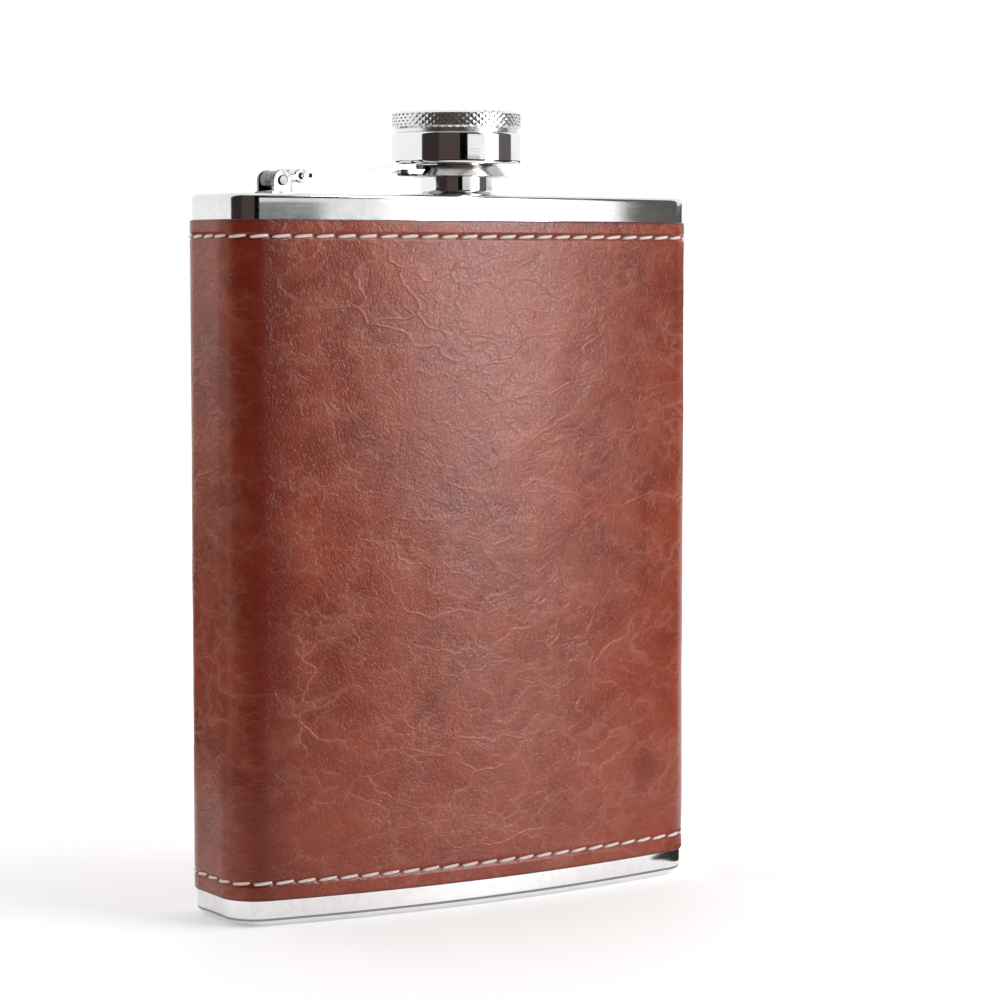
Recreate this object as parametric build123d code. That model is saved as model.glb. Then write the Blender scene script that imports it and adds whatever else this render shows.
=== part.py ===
from build123d import *

import math
import os

# Hip flask: a curved metal body wrapped in stitched leather, with a screw cap kept on by a ring,
# a strap and a hinge of two pins. Millimetres, +Z up. The origin is under the middle of the whole
# flask, on the surface that it stands on; shapes are drawn about the neck's axis and then moved.

# ---- body ----
WIDTH = 95.0  # across the leather
THICKNESS = 22.0  # front to back over the leather, at the middle
FRONT_RADIUS = 230.0  # convex front, over the leather
CORNER_RADIUS = 7.0  # upright corners, over the leather
BODY_HEIGHT = 124.3  # standing face to the top of the top plate
TOP_BAND = 4.3  # bare metal above the leather
BASE_BAND = 4.5  # bare metal below the leather
LEATHER = 1.0  # leather thickness
LEATHER_PROUD = 0.4  # leather outside the metal bands
LEATHER_EDGE = 0.35  # rounding of the cut edges of the leather
TUBE_WALL = 0.5
PLATE_SHEET = 0.8  # flat parts of the top and base plates
TOP_EDGE = 0.8  # outer rounding of the top plate
BASE_EDGE = 1.8  # outer rounding of the base plate
GLUE = 0.02  # glue or solder line between pieces that are fixed to each other
SEAM = 0.4  # butt seam of the leather, up the middle of the back

# ---- stitching ----
STITCH_PITCH = 3.85
STITCH_LENGTH = 3.1
THREAD = 0.6  # thread width
THREAD_HEIGHT = 0.42
UPPER_ROW = 2.8  # row below the upper edge of the leather
LOWER_ROW = 3.1  # row above the lower edge of the leather
GROOVE_DEPTH = 0.38
GROOVE_WIDTH = 0.9

# ---- neck and thread; heights are above the top plate from here on ----
NECK_BORE = 3.8  # radius
NECK_WALL = 0.6
NECK_TOP = 6.0
NECK_FLANGE = 1.8  # flange beyond the neck's wall, under the plate
NECK_FLANGE_HEIGHT = 0.9
NECK_LIP_CHAMFER = 0.25
NECK_THREAD_START = 1.9
THREAD_PITCH = 1.25
THREAD_TURNS = 2.4
THREAD_DEPTH = 0.35
THREAD_PLAY = 0.25  # between the crests of neck and cap
THREAD_FOOT = 0.62  # width of a thread at its root
THREAD_CREST = 0.24  # width of a thread at its crest
THREAD_SINK = 0.12  # how far a thread's foot is let into its wall

# ---- cap ----
CAP_RADIUS = 11.3
CAP_FLOOR = 5.5  # underside of the cap
CAP_BODY_HEIGHT = 5.6
CAP_WALL = 1.0
CAP_EDGE = 0.7
GRIP_GROOVE = 0.6  # height of the dark groove under the knurled top
GRIP_GROOVE_DEPTH = 0.55
GRIP_HEIGHT = 2.9
GRIP_CHAMFER = 0.35
GRIP_PLATE = 1.2
GRIP_SPIGOT = 1.0  # how far the knurled top reaches into the cap body
SLEEVE_WALL = 0.9
SLEEVE_GAP = 0.1  # lip above the top plate
SLEEVE_LIP = 0.8  # flare of the lip beyond the sleeve
SLEEVE_LIP_HEIGHT = 0.4
SLEEVE_MOUTH_RELIEF = 0.4  # widening inside the lip
SLEEVE_MOUTH_HEIGHT = 1.5
SLEEVE_FLANGE_PLAY = 0.6  # between the flange and the cap's wall
SLEEVE_FLANGE_HEIGHT = 0.8
SLEEVE_CEILING = 1.1
SEAL_PLAY = 0.05  # inside the thread's crest
SEAL_HEIGHT = 1.3
SEAL_HOLE = 1.6
SEAL_GAP = 0.05

# ---- ring and strap ----
RING_PLAY = 0.2  # round the sleeve
RING_WEB = 0.95  # flat part of the ring
RING_FLARE = 1.5  # rim beyond the flat part
RING_SKIRT = 2.0  # height of the cone
RING_UNDER_CAP = 0.1  # gap between the ring and the cap
RING_SHEET = 0.8
TAB_SHEET = 0.68
TAB_END = 2.0  # tab beyond the rivet
STRAP_SHEET = 0.75
STRAP_WIDTH = 4.6
STRAP_UNDER_CAP = 0.17
STRAP_INSIDE_RIM = 0.3  # end of the strap inside the ring's rim
STRAP_FLAT = 2.1  # flat beyond the rivet
STRAP_RISE_LENGTH = 5.2
STRAP_RISE = 1.05
STRAP_BEND = 3.0
STRAP_CORNER = 1.2
RIVET_EDGE = 1.7  # rivet from the strap's end
RIVET_RADIUS = 0.9
RIVET_HEAD_RADIUS = 1.5
RIVET_HEAD = 0.45

# ---- hinge ----
HINGE_INSET = 11.3  # bracket pin from the side of the flask
BRACKET_PIN_HEIGHT = 2.3
ARM_PIN_HEIGHT = 3.1
LINK_REACH = 4.0  # from pin to pin, level
BRACKET_PIN_RADIUS = 0.6
ARM_PIN_RADIUS = 0.45
RUNNING_FIT = 0.05
BARREL_WALL = 1.0
BARREL_WIDTH = 4.4
EAR_WALL = 1.2
EAR_SHEET = 0.7
EAR_GAP = 0.1
FOOT_LENGTH = 4.4
FOOT_SHEET = 0.45
LINK_SHEET = 1.1
LINK_EAR_WALL = 0.7
LINK_EAR_SHEET = 0.6
LOOP_WALL = 0.6
LOOP_CLEARANCE = 0.3
LOOP_WIDTH = 3.0
LOOP_NECK = 2.2  # length of narrow strap beside the loop
PIN_HEAD = 0.35
PIN_HEAD_EXTRA = 0.3

# ---- places worked out from the sizes ----
SKIRT_INSET = LEATHER_PROUD
SKIRT_WALL = LEATHER - LEATHER_PROUD
ARC_CENTRE_Y = FRONT_RADIUS - THICKNESS / 2
LEATHER_BOTTOM = BASE_BAND + GLUE
LEATHER_TOP = BODY_HEIGHT - TOP_BAND - GLUE
NECK_ROOT = NECK_BORE + NECK_WALL
NECK_CREST = NECK_ROOT + THREAD_DEPTH
SLEEVE_CREST = NECK_CREST + THREAD_PLAY
SLEEVE_ROOT = SLEEVE_CREST + THREAD_DEPTH
SLEEVE_RADIUS = SLEEVE_ROOT + SLEEVE_WALL
SLEEVE_MOUTH = SLEEVE_ROOT + SLEEVE_MOUTH_RELIEF
CAP_INSIDE = CAP_RADIUS - CAP_WALL - CAP_EDGE
CAP_BODY_TOP = CAP_FLOOR + CAP_BODY_HEIGHT
GRIP_BOTTOM = CAP_BODY_TOP + GRIP_GROOVE
GRIP_TOP = GRIP_BOTTOM + GRIP_HEIGHT
SEAL_RADIUS = SLEEVE_CREST - SEAL_PLAY
SEAL_BOTTOM = NECK_TOP + SEAL_GAP
SLEEVE_CEILING_BOTTOM = SEAL_BOTTOM + SEAL_HEIGHT + SEAL_GAP
RING_HOLE = SLEEVE_RADIUS + RING_PLAY
RING_TOP_RADIUS = RING_HOLE + RING_WEB
RING_RIM_RADIUS = RING_TOP_RADIUS + RING_FLARE
RING_TOP = CAP_FLOOR - RING_UNDER_CAP
RING_RIM = RING_TOP - RING_SKIRT
STRAP_TOP = CAP_FLOOR - STRAP_UNDER_CAP
STRAP_UNDERSIDE = STRAP_TOP - STRAP_SHEET
STRAP_MIDDLE = STRAP_TOP - STRAP_SHEET / 2
STRAP_END = RING_RIM_RADIUS - STRAP_INSIDE_RIM
RIVET_PLACE = STRAP_END + RIVET_EDGE
# distance from the neck's axis, height
BRACKET_PIN_PLACE = (WIDTH / 2 - HINGE_INSET, BRACKET_PIN_HEIGHT)
ARM_PIN_PLACE = (BRACKET_PIN_PLACE[0] - LINK_REACH, ARM_PIN_HEIGHT)
BARREL_RADIUS = BRACKET_PIN_RADIUS + RUNNING_FIT + BARREL_WALL
EAR_RADIUS = BRACKET_PIN_RADIUS + EAR_WALL
LINK_EAR_RADIUS = ARM_PIN_RADIUS + LINK_EAR_WALL
LOOP_RADIUS = ARM_PIN_RADIUS + RUNNING_FIT + LOOP_WALL
LINK_GAP = LOOP_WIDTH + 2 * EAR_GAP
LINK_WIDTH = LINK_GAP + 2 * LINK_EAR_SHEET
BRACKET_GAP = BARREL_WIDTH + 2 * EAR_GAP
BRACKET_WIDTH = BRACKET_GAP + 2 * EAR_SHEET


def flask_section(inset):
    """Plan of the flask, a bent rounded rectangle, a given distance inside the leather's face."""
    half = WIDTH / 2 - inset
    front = FRONT_RADIUS - inset
    back = FRONT_RADIUS - THICKNESS + inset
    front_side = ARC_CENTRE_Y - math.sqrt(front**2 - half**2)
    back_side = ARC_CENTRE_Y - math.sqrt(back**2 - half**2)
    outline = Curve() + [
        ThreePointArc((-half, front_side), (0, ARC_CENTRE_Y - front), (half, front_side)),
        Line((half, front_side), (half, back_side)),
        ThreePointArc((half, back_side), (0, ARC_CENTRE_Y - back), (-half, back_side)),
        Line((-half, back_side), (-half, front_side)),
    ]
    plan = make_face(outline)
    return fillet(plan.vertices(), CORNER_RADIUS - inset)


def slab(inset, bottom, top):
    """The flask's plan, extruded between two heights."""
    return Pos(0, 0, bottom) * extrude(flask_section(inset), top - bottom)


def turned(points, base=BODY_HEIGHT):
    """Solid of revolution about the neck's axis, from (radius, height) points."""
    profile = make_face(Plane.XZ * Polyline(*points, close=True))
    return Pos(0, 0, base) * revolve(profile, Axis.Z)


def disc(radius, bottom, top, base=BODY_HEIGHT):
    """Cylinder about the neck's axis, between two heights."""
    return Pos(0, 0, base + bottom) * Cylinder(
        radius, top - bottom, align=(Align.CENTER, Align.CENTER, Align.MIN)
    )


def thread(wall_radius, crest_radius, start, turns):
    """Ridge of a screw thread on a wall: outwards when the crest is the larger radius."""
    path = Helix(THREAD_PITCH, THREAD_PITCH * turns, wall_radius)
    depth = crest_radius - wall_radius
    foot = -math.copysign(THREAD_SINK, depth)
    profile = Plane(origin=path @ 0, x_dir=(1, 0, 0), z_dir=path % 0) * make_face(
        Polyline(
            (foot, -THREAD_FOOT / 2),
            (depth, -THREAD_CREST / 2),
            (depth, THREAD_CREST / 2),
            (foot, THREAD_FOOT / 2),
            close=True,
        )
    )
    return Pos(0, 0, BODY_HEIGHT + start) * sweep(profile, path=path, is_frenet=True)


def pin(place, radius, width, head_radius):
    """Hinge pin along Y with a rounded head at each end."""
    at = Pos(-place[0], 0, BODY_HEIGHT + place[1]) * Rot(90, 0, 0)
    shank = Cylinder(radius, width)
    head = Cylinder(head_radius, PIN_HEAD)
    head = fillet(head.edges().group_by(Axis.Z)[-1], PIN_HEAD * 0.6)
    over = Pos(0, 0, (width + PIN_HEAD) / 2)
    return at * (shank + over * head + Rot(180, 0, 0) * over * head)


def across(profile, width):
    """Extrudes a side-view profile both ways from the neck's plane, to a whole width."""
    return extrude(Plane.XZ * profile, width / 2, both=True)


def side_circle(place, radius):
    """Circle in the side view at a pin's place."""
    return Pos(-place[0], BODY_HEIGHT + place[1]) * Circle(radius)


def make_body_tube():
    """Drawn tube that holds the drink, open at both ends."""
    bottom = PLATE_SHEET + BASE_EDGE - SKIRT_WALL
    top = BODY_HEIGHT - PLATE_SHEET
    outside = LEATHER + GLUE
    return slab(outside, bottom, top) - slab(outside + TUBE_WALL, bottom, top)


def make_top_plate():
    """Cap of sheet with a rounded edge and a skirt, pierced for the neck."""
    bottom = BODY_HEIGHT - TOP_BAND
    outer = slab(SKIRT_INSET, bottom, BODY_HEIGHT)
    outer = fillet(outer.edges().group_by(Axis.Z)[-1], TOP_EDGE)
    inner = slab(SKIRT_INSET + SKIRT_WALL, bottom, BODY_HEIGHT - PLATE_SHEET)
    return outer - inner - disc(NECK_ROOT + GLUE, -TOP_BAND, 1.0)


def make_base_plate():
    """Dished sheet that closes the tube and stands on its flat underside."""
    outer = slab(SKIRT_INSET, 0, BASE_BAND)
    outer = fillet(outer.edges().group_by(Axis.Z)[0], BASE_EDGE)
    inner = slab(SKIRT_INSET + SKIRT_WALL, PLATE_SHEET, BASE_BAND)
    inner = fillet(inner.edges().group_by(Axis.Z)[0], BASE_EDGE - SKIRT_WALL)
    return outer - inner


def stitch_rows():
    """Heights of the two rows of stitches."""
    return LEATHER_TOP - UPPER_ROW, LEATHER_BOTTOM + LOWER_ROW


def make_leather_wrap():
    """Leather round the tube, with a butt seam at the back and a channel for each row."""
    outer = slab(0, LEATHER_BOTTOM, LEATHER_TOP)
    levels = outer.edges().group_by(Axis.Z)
    outer = fillet(levels[0] + levels[-1], LEATHER_EDGE)
    wrap = outer - slab(LEATHER, LEATHER_BOTTOM, LEATHER_TOP)
    for height in stitch_rows():
        bottom, top = height - GROOVE_WIDTH / 2, height + GROOVE_WIDTH / 2
        wrap -= slab(-GROOVE_WIDTH, bottom, top) - slab(GROOVE_DEPTH, bottom, top)
    seam = Pos(0, THICKNESS / 2, BODY_HEIGHT / 2) * Box(SEAM, THICKNESS / 2, BODY_HEIGHT)
    return wrap - seam


def make_stitching(height):
    """One row of separate stitches, bent round the flask in their channel."""
    inner = GROOVE_DEPTH - GLUE
    bottom, top = height - THREAD / 2, height + THREAD / 2
    row = slab(inner - THREAD_HEIGHT, bottom, top) - slab(inner, bottom, top)
    outline = flask_section(GROOVE_DEPTH).faces()[0].outer_wire()
    count = round(outline.length / STITCH_PITCH)
    hole = outline.length / count - STITCH_LENGTH
    for index in range(count):
        place = outline @ (index / count)
        seat = Plane(origin=(place.X, place.Y, height), x_dir=outline % (index / count))
        row -= seat * Box(hole, 4 * GROOVE_WIDTH, 2 * THREAD)
    return row


def make_neck_spout():
    """Threaded neck, soldered through the top plate from inside."""
    flange_top = -PLATE_SHEET - GLUE
    tube = disc(NECK_ROOT, flange_top, NECK_TOP)
    tube = chamfer(tube.edges().group_by(Axis.Z)[-1], NECK_LIP_CHAMFER)
    tube += disc(NECK_ROOT + NECK_FLANGE, flange_top - NECK_FLANGE_HEIGHT, flange_top)
    tube += thread(NECK_ROOT, NECK_CREST, NECK_THREAD_START, THREAD_TURNS)
    return tube - disc(NECK_BORE, flange_top - NECK_FLANGE_HEIGHT, NECK_TOP)


def make_cap_insert():
    """Threaded sleeve of the cap: the flared lip keeps the ring on."""
    lip_top = SLEEVE_GAP + SLEEVE_LIP_HEIGHT
    flange_bottom = CAP_FLOOR + CAP_WALL + GLUE
    flange_top = flange_bottom + SLEEVE_FLANGE_HEIGHT
    flange = CAP_INSIDE - SLEEVE_FLANGE_PLAY
    top = SLEEVE_CEILING_BOTTOM + SLEEVE_CEILING
    lip = SLEEVE_RADIUS + SLEEVE_LIP
    sleeve = turned(
        [
            (SLEEVE_MOUTH, SLEEVE_GAP),
            (lip, SLEEVE_GAP),
            (lip, SLEEVE_GAP + SLEEVE_LIP_HEIGHT / 2),
            (SLEEVE_RADIUS, lip_top),
            (SLEEVE_RADIUS, flange_bottom),
            (flange, flange_bottom),
            (flange, flange_top),
            (SLEEVE_RADIUS, flange_top),
            (SLEEVE_RADIUS, top),
            (0, top),
            (0, SLEEVE_CEILING_BOTTOM),
            (SLEEVE_ROOT, SLEEVE_CEILING_BOTTOM),
            (SLEEVE_ROOT, SLEEVE_MOUTH_HEIGHT),
            (SLEEVE_MOUTH, SLEEVE_MOUTH_HEIGHT - (SLEEVE_MOUTH - SLEEVE_ROOT)),
        ]
    )
    start = SLEEVE_MOUTH_HEIGHT + THREAD_FOOT
    return sleeve + thread(SLEEVE_ROOT, SLEEVE_CREST, start, THREAD_TURNS)


def make_seal_washer():
    """Silicone washer that closes on the rim of the neck."""
    seal = disc(SEAL_RADIUS, SEAL_BOTTOM, SEAL_BOTTOM + SEAL_HEIGHT)
    return seal - disc(SEAL_HOLE, SEAL_BOTTOM, SEAL_BOTTOM + SEAL_HEIGHT)


def make_cap_body():
    """Plain lower cup of the cap, resting under the sleeve's flange."""
    cup = disc(CAP_RADIUS, CAP_FLOOR, CAP_BODY_TOP)
    levels = cup.edges().group_by(Axis.Z)
    cup = fillet(levels[0] + levels[-1], CAP_EDGE)
    cup -= disc(CAP_INSIDE, CAP_FLOOR + CAP_WALL, CAP_BODY_TOP)
    return cup - disc(SLEEVE_RADIUS + GLUE, CAP_FLOOR, CAP_BODY_TOP)


def make_cap_top():
    """Knurled top of the cap, pressed into the cup."""
    neck = CAP_INSIDE - GLUE
    groove = CAP_RADIUS - GRIP_GROOVE_DEPTH
    inside = neck - CAP_WALL
    grip = disc(CAP_RADIUS, GRIP_BOTTOM, GRIP_TOP)
    levels = grip.edges().group_by(Axis.Z)
    grip = chamfer(levels[0] + levels[-1], GRIP_CHAMFER)
    grip += disc(groove, CAP_BODY_TOP, GRIP_BOTTOM)
    grip += disc(neck, CAP_BODY_TOP - GRIP_SPIGOT, CAP_BODY_TOP)
    return grip - disc(inside, CAP_BODY_TOP - GRIP_SPIGOT, GRIP_TOP - GRIP_PLATE)


def rivet_place():
    """Upright axis of the rivet."""
    return Pos(-RIVET_PLACE, 0, BODY_HEIGHT)


def make_swivel_ring():
    """Conical ring between the cap and the lip, with a tab for the strap."""
    inner_knee = RING_TOP_RADIUS - RING_SHEET * 0.4
    ring = turned(
        [
            (RING_HOLE, RING_TOP - RING_SHEET),
            (inner_knee, RING_TOP - RING_SHEET),
            (RING_RIM_RADIUS - RING_SHEET, RING_RIM),
            (RING_RIM_RADIUS, RING_RIM),
            (RING_TOP_RADIUS, RING_TOP),
            (RING_HOLE, RING_TOP),
        ]
    )
    tab_top = STRAP_UNDERSIDE - GLUE
    tab_start = RING_TOP_RADIUS
    tab_reach = RIVET_PLACE + TAB_END
    tab = Pos(-(tab_reach + tab_start) / 2, 0, BODY_HEIGHT + tab_top - TAB_SHEET / 2) * Box(
        tab_reach - tab_start, STRAP_WIDTH, TAB_SHEET
    )
    tab = fillet(tab.edges().filter_by(Axis.Z).group_by(Axis.X)[0], STRAP_WIDTH * 0.3)
    hole = rivet_place() * Cylinder(RIVET_RADIUS, 2 * CAP_FLOOR)
    bore = disc(RING_HOLE, RING_RIM, RING_TOP)
    return ring + tab - hole - bore


def make_strap_rivet():
    """Rivet that joins the strap to the ring's tab, flush on top."""
    tab_bottom = STRAP_UNDERSIDE - GLUE - TAB_SHEET
    upright = (Align.CENTER, Align.CENTER, Align.MIN)
    shank = Pos(0, 0, tab_bottom) * Cylinder(RIVET_RADIUS, STRAP_TOP - tab_bottom, align=upright)
    head = Cylinder(RIVET_HEAD_RADIUS, RIVET_HEAD, align=upright)
    head = fillet(head.edges().group_by(Axis.Z)[0], RIVET_HEAD * 0.7)
    return rivet_place() * (shank + Pos(0, 0, tab_bottom - RIVET_HEAD) * head)


def make_arm_strap():
    """Sprung strap: a loop round the arm pin, a gentle rise and a flat end under the cap."""
    flat = RIVET_PLACE + STRAP_FLAT
    knee = flat + STRAP_RISE_LENGTH
    line = FilletPolyline(
        (-ARM_PIN_PLACE[0], BODY_HEIGHT + ARM_PIN_PLACE[1]),
        (-knee, BODY_HEIGHT + STRAP_MIDDLE - STRAP_RISE),
        (-flat, BODY_HEIGHT + STRAP_MIDDLE),
        (-STRAP_END, BODY_HEIGHT + STRAP_MIDDLE),
        radius=STRAP_BEND,
    )
    blade = across(trace(line, line_width=STRAP_SHEET), STRAP_WIDTH)
    blade = fillet(blade.edges().filter_by(Axis.Z).group_by(Axis.X)[-1], STRAP_CORNER)
    root = Pos(-ARM_PIN_PLACE[0], 0, BODY_HEIGHT + ARM_PIN_PLACE[1])
    blade -= root * Box(2 * LOOP_NECK, STRAP_WIDTH + 1, 2 * LOOP_NECK)
    blade += across(trace(line, line_width=STRAP_SHEET), LOOP_WIDTH)
    blade += across(side_circle(ARM_PIN_PLACE, LOOP_RADIUS), LOOP_WIDTH)
    blade -= across(side_circle(ARM_PIN_PLACE, ARM_PIN_RADIUS + RUNNING_FIT), STRAP_WIDTH)
    return blade - rivet_place() * Cylinder(RIVET_RADIUS, 2 * CAP_FLOOR)


def link_web():
    """Side view of the plate that joins the link's two knuckles."""
    start = Vector(-BRACKET_PIN_PLACE[0], BODY_HEIGHT + BRACKET_PIN_PLACE[1])
    end = Vector(-ARM_PIN_PLACE[0], BODY_HEIGHT + ARM_PIN_PLACE[1])
    return trace(Line(start, end), line_width=LINK_SHEET)


def make_hinge_link():
    """Short link: a barrel on the bracket pin and two ears that hold the arm pin."""
    link = across(link_web(), LINK_WIDTH)
    link += across(side_circle(ARM_PIN_PLACE, LINK_EAR_RADIUS), LINK_WIDTH)
    link -= across(side_circle(ARM_PIN_PLACE, LOOP_RADIUS + LOOP_CLEARANCE), LINK_GAP)
    link += across(side_circle(BRACKET_PIN_PLACE, BARREL_RADIUS), BARREL_WIDTH)
    link -= across(side_circle(ARM_PIN_PLACE, ARM_PIN_RADIUS), LINK_WIDTH)
    return link - across(
        side_circle(BRACKET_PIN_PLACE, BRACKET_PIN_RADIUS + RUNNING_FIT), BARREL_WIDTH
    )


def make_hinge_bracket():
    """Bracket soldered to the top plate: a foot and two ears for the bracket pin."""
    place, height = BRACKET_PIN_PLACE
    upright = (Align.CENTER, Align.MIN)
    cheek = side_circle(BRACKET_PIN_PLACE, EAR_RADIUS)
    cheek += Pos(-place, BODY_HEIGHT + GLUE) * Rectangle(2 * EAR_RADIUS, height, align=upright)
    foot = Pos(-place, BODY_HEIGHT + GLUE) * Rectangle(FOOT_LENGTH, FOOT_SHEET, align=upright)
    bracket = across(cheek, BRACKET_WIDTH) - across(cheek, BRACKET_GAP)
    bracket += across(foot, BRACKET_WIDTH)
    return bracket - across(side_circle(BRACKET_PIN_PLACE, BRACKET_PIN_RADIUS), BRACKET_WIDTH)


def make_parts():
    """Every node of the flask, by name."""
    upper, lower = stitch_rows()
    bracket_head = BRACKET_PIN_RADIUS + PIN_HEAD_EXTRA
    return {
        "body_tube": make_body_tube(),
        "top_plate": make_top_plate(),
        "base_plate": make_base_plate(),
        "neck_spout": make_neck_spout(),
        "leather_wrap": make_leather_wrap(),
        "upper_stitching": make_stitching(upper),
        "lower_stitching": make_stitching(lower),
        "hinge_bracket": make_hinge_bracket(),
        "bracket_pin": pin(BRACKET_PIN_PLACE, BRACKET_PIN_RADIUS, BRACKET_WIDTH, bracket_head),
        "hinge_link": make_hinge_link(),
        "arm_pin": pin(ARM_PIN_PLACE, ARM_PIN_RADIUS, LINK_WIDTH, ARM_PIN_RADIUS),
        "arm_strap": make_arm_strap(),
        "swivel_ring": make_swivel_ring(),
        "strap_rivet": make_strap_rivet(),
        "seal_washer": make_seal_washer(),
        "cap_body": make_cap_body(),
        "cap_top": make_cap_top(),
        "cap_insert": make_cap_insert(),
    }


def main():
    """Writes one STEP file per node and prints the places that the record names."""
    os.makedirs("parts", exist_ok=True)
    body = flask_section(0).bounding_box()
    front = min(body.min.Y, -CAP_RADIUS)
    back = max(body.max.Y, CAP_RADIUS)
    centring = Pos(0, -(front + back) / 2, 0)
    for name, shape in make_parts().items():
        export_step(centring * shape, f"parts/{name}.step")
    print("neck axis y", round(centring.position.Y, 4))
    print("depth", round(back - front, 3), "height", BODY_HEIGHT + GRIP_TOP)
    print("back face at the seam y", round(centring.position.Y + THICKNESS / 2, 4))


main()
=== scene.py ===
"""Looks of a leather-wrapped hip flask with a captive screw cap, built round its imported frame.

Everything is in metres, in the frame's own axes: +Z up, -Y towards the convex front, the hinge at -X.
"""

import logging
import math
from dataclasses import dataclass, field
from enum import Enum

import bmesh
import bpy
from mathutils import Euler, Matrix, Vector, noise


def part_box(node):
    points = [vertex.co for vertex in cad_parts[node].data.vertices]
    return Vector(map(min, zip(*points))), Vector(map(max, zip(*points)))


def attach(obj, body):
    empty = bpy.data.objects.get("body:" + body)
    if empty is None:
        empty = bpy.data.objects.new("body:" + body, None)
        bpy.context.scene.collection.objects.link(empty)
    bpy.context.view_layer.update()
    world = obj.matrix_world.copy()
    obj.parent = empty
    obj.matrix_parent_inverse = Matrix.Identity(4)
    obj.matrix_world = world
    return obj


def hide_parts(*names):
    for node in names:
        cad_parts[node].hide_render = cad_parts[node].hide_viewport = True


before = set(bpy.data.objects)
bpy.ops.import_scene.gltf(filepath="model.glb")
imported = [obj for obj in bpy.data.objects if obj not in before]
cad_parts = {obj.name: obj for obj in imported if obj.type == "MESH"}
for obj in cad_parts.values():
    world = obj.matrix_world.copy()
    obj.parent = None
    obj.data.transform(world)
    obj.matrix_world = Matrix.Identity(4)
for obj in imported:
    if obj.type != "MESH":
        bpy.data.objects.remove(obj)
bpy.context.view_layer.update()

LOG = logging.getLogger("flask")
MM = 0.001
TOUCH = 0.001 * MM
TURN = 2 * math.pi
Colour = tuple[float, float, float]


# ---------------------------------------------------------------- shader building


class Graph:
    """Adds nodes to a node tree and links them, in few words."""

    def __init__(self, tree: bpy.types.NodeTree) -> None:
        """Keeps the tree.

        Args:
            tree: the node tree that nodes are added to.
        """
        self.tree = tree

    def add(
        self, kind: str, inputs: dict[str | int, object] | None = None, **settings: object
    ) -> bpy.types.Node:
        """Adds a node, sets its properties and fills or links its inputs.

        Args:
            kind: the node's type, without the ShaderNode prefix.
            inputs: a value or an output socket for each named or numbered input.
            **settings: the node's own properties.

        Returns:
            The new node.
        """
        node = self.tree.nodes.new("ShaderNode" + kind)
        for name, value in settings.items():
            setattr(node, name, value)
        for name, value in (inputs or {}).items():
            if isinstance(value, bpy.types.NodeSocket):
                self.tree.links.new(value, node.inputs[name])
            else:
                node.inputs[name].default_value = value
        return node

    def math(
        self, operation: str, first: object, second: object = 0.0, clamp: bool = False
    ) -> bpy.types.NodeSocket:
        """Adds a Math node.

        Args:
            operation: the Math node's operation.
            first: first value or socket.
            second: second value or socket.
            clamp: whether the result is held between 0 and 1.

        Returns:
            The node's output.
        """
        return self.add("Math", {0: first, 1: second}, operation=operation, use_clamp=clamp).outputs[0]

    def between(
        self, value: object, low: float, high: float, to_low: float = 0.0, to_high: float = 1.0
    ) -> bpy.types.NodeSocket:
        """Maps a range of values smoothly onto another.

        Args:
            value: the socket to map.
            low: start of the range read.
            high: end of the range read.
            to_low: result at low.
            to_high: result at high.

        Returns:
            The mapped value's socket.
        """
        node = self.add(
            "MapRange",
            {"Value": value, "From Min": low, "From Max": high, "To Min": to_low, "To Max": to_high},
            interpolation_type="SMOOTHSTEP",
        )
        return node.outputs["Result"]

    def mix(self, factor: object, first: object, second: object) -> bpy.types.NodeSocket:
        """Mixes two colours.

        Args:
            factor: share of the second colour.
            first: first colour or socket.
            second: second colour or socket.

        Returns:
            The mixed colour's socket.
        """
        node = self.add("Mix", data_type="RGBA")
        for index, value in ((0, factor), (6, first), (7, second)):
            if isinstance(value, bpy.types.NodeSocket):
                self.tree.links.new(value, node.inputs[index])
            elif index == 0:
                node.inputs[index].default_value = value
            else:
                node.inputs[index].default_value = (*value, 1.0)
        return node.outputs[2]

    def noise(
        self, vector: object, scale: object, detail: float = 3.0, distortion: float = 0.0,
        roughness: float = 0.55,
    ) -> bpy.types.NodeSocket:
        """Adds a Noise texture and gives its value.

        Args:
            vector: coordinates.
            scale: cells per unit.
            detail: octaves.
            distortion: how far the pattern is warped.
            roughness: strength of the finer octaves.

        Returns:
            The noise value's socket.
        """
        node = self.add(
            "TexNoise",
            {
                "Vector": vector, "Scale": scale, "Detail": detail,
                "Distortion": distortion, "Roughness": roughness,
            },
        )
        return node.outputs["Fac"]

    def warped(self, vector: object, scale: object, detail: float, reach: object) -> bpy.types.NodeSocket:
        """Pushes coordinates about by a noise.

        Args:
            vector: coordinates.
            scale: cells of the noise per unit.
            detail: octaves of the noise.
            reach: how far the coordinates move.

        Returns:
            The moved coordinates' socket.
        """
        warp = self.add("TexNoise", {"Vector": vector, "Scale": scale, "Detail": detail})
        middle = (0.5, 0.5, 0.5)
        push = self.add("VectorMath", {0: warp.outputs["Color"], 1: middle}, operation="SUBTRACT")
        push = self.add("VectorMath", {0: push.outputs[0], "Scale": reach}, operation="SCALE")
        return self.add("VectorMath", {0: vector, 1: push.outputs[0]}, operation="ADD").outputs[0]


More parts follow.
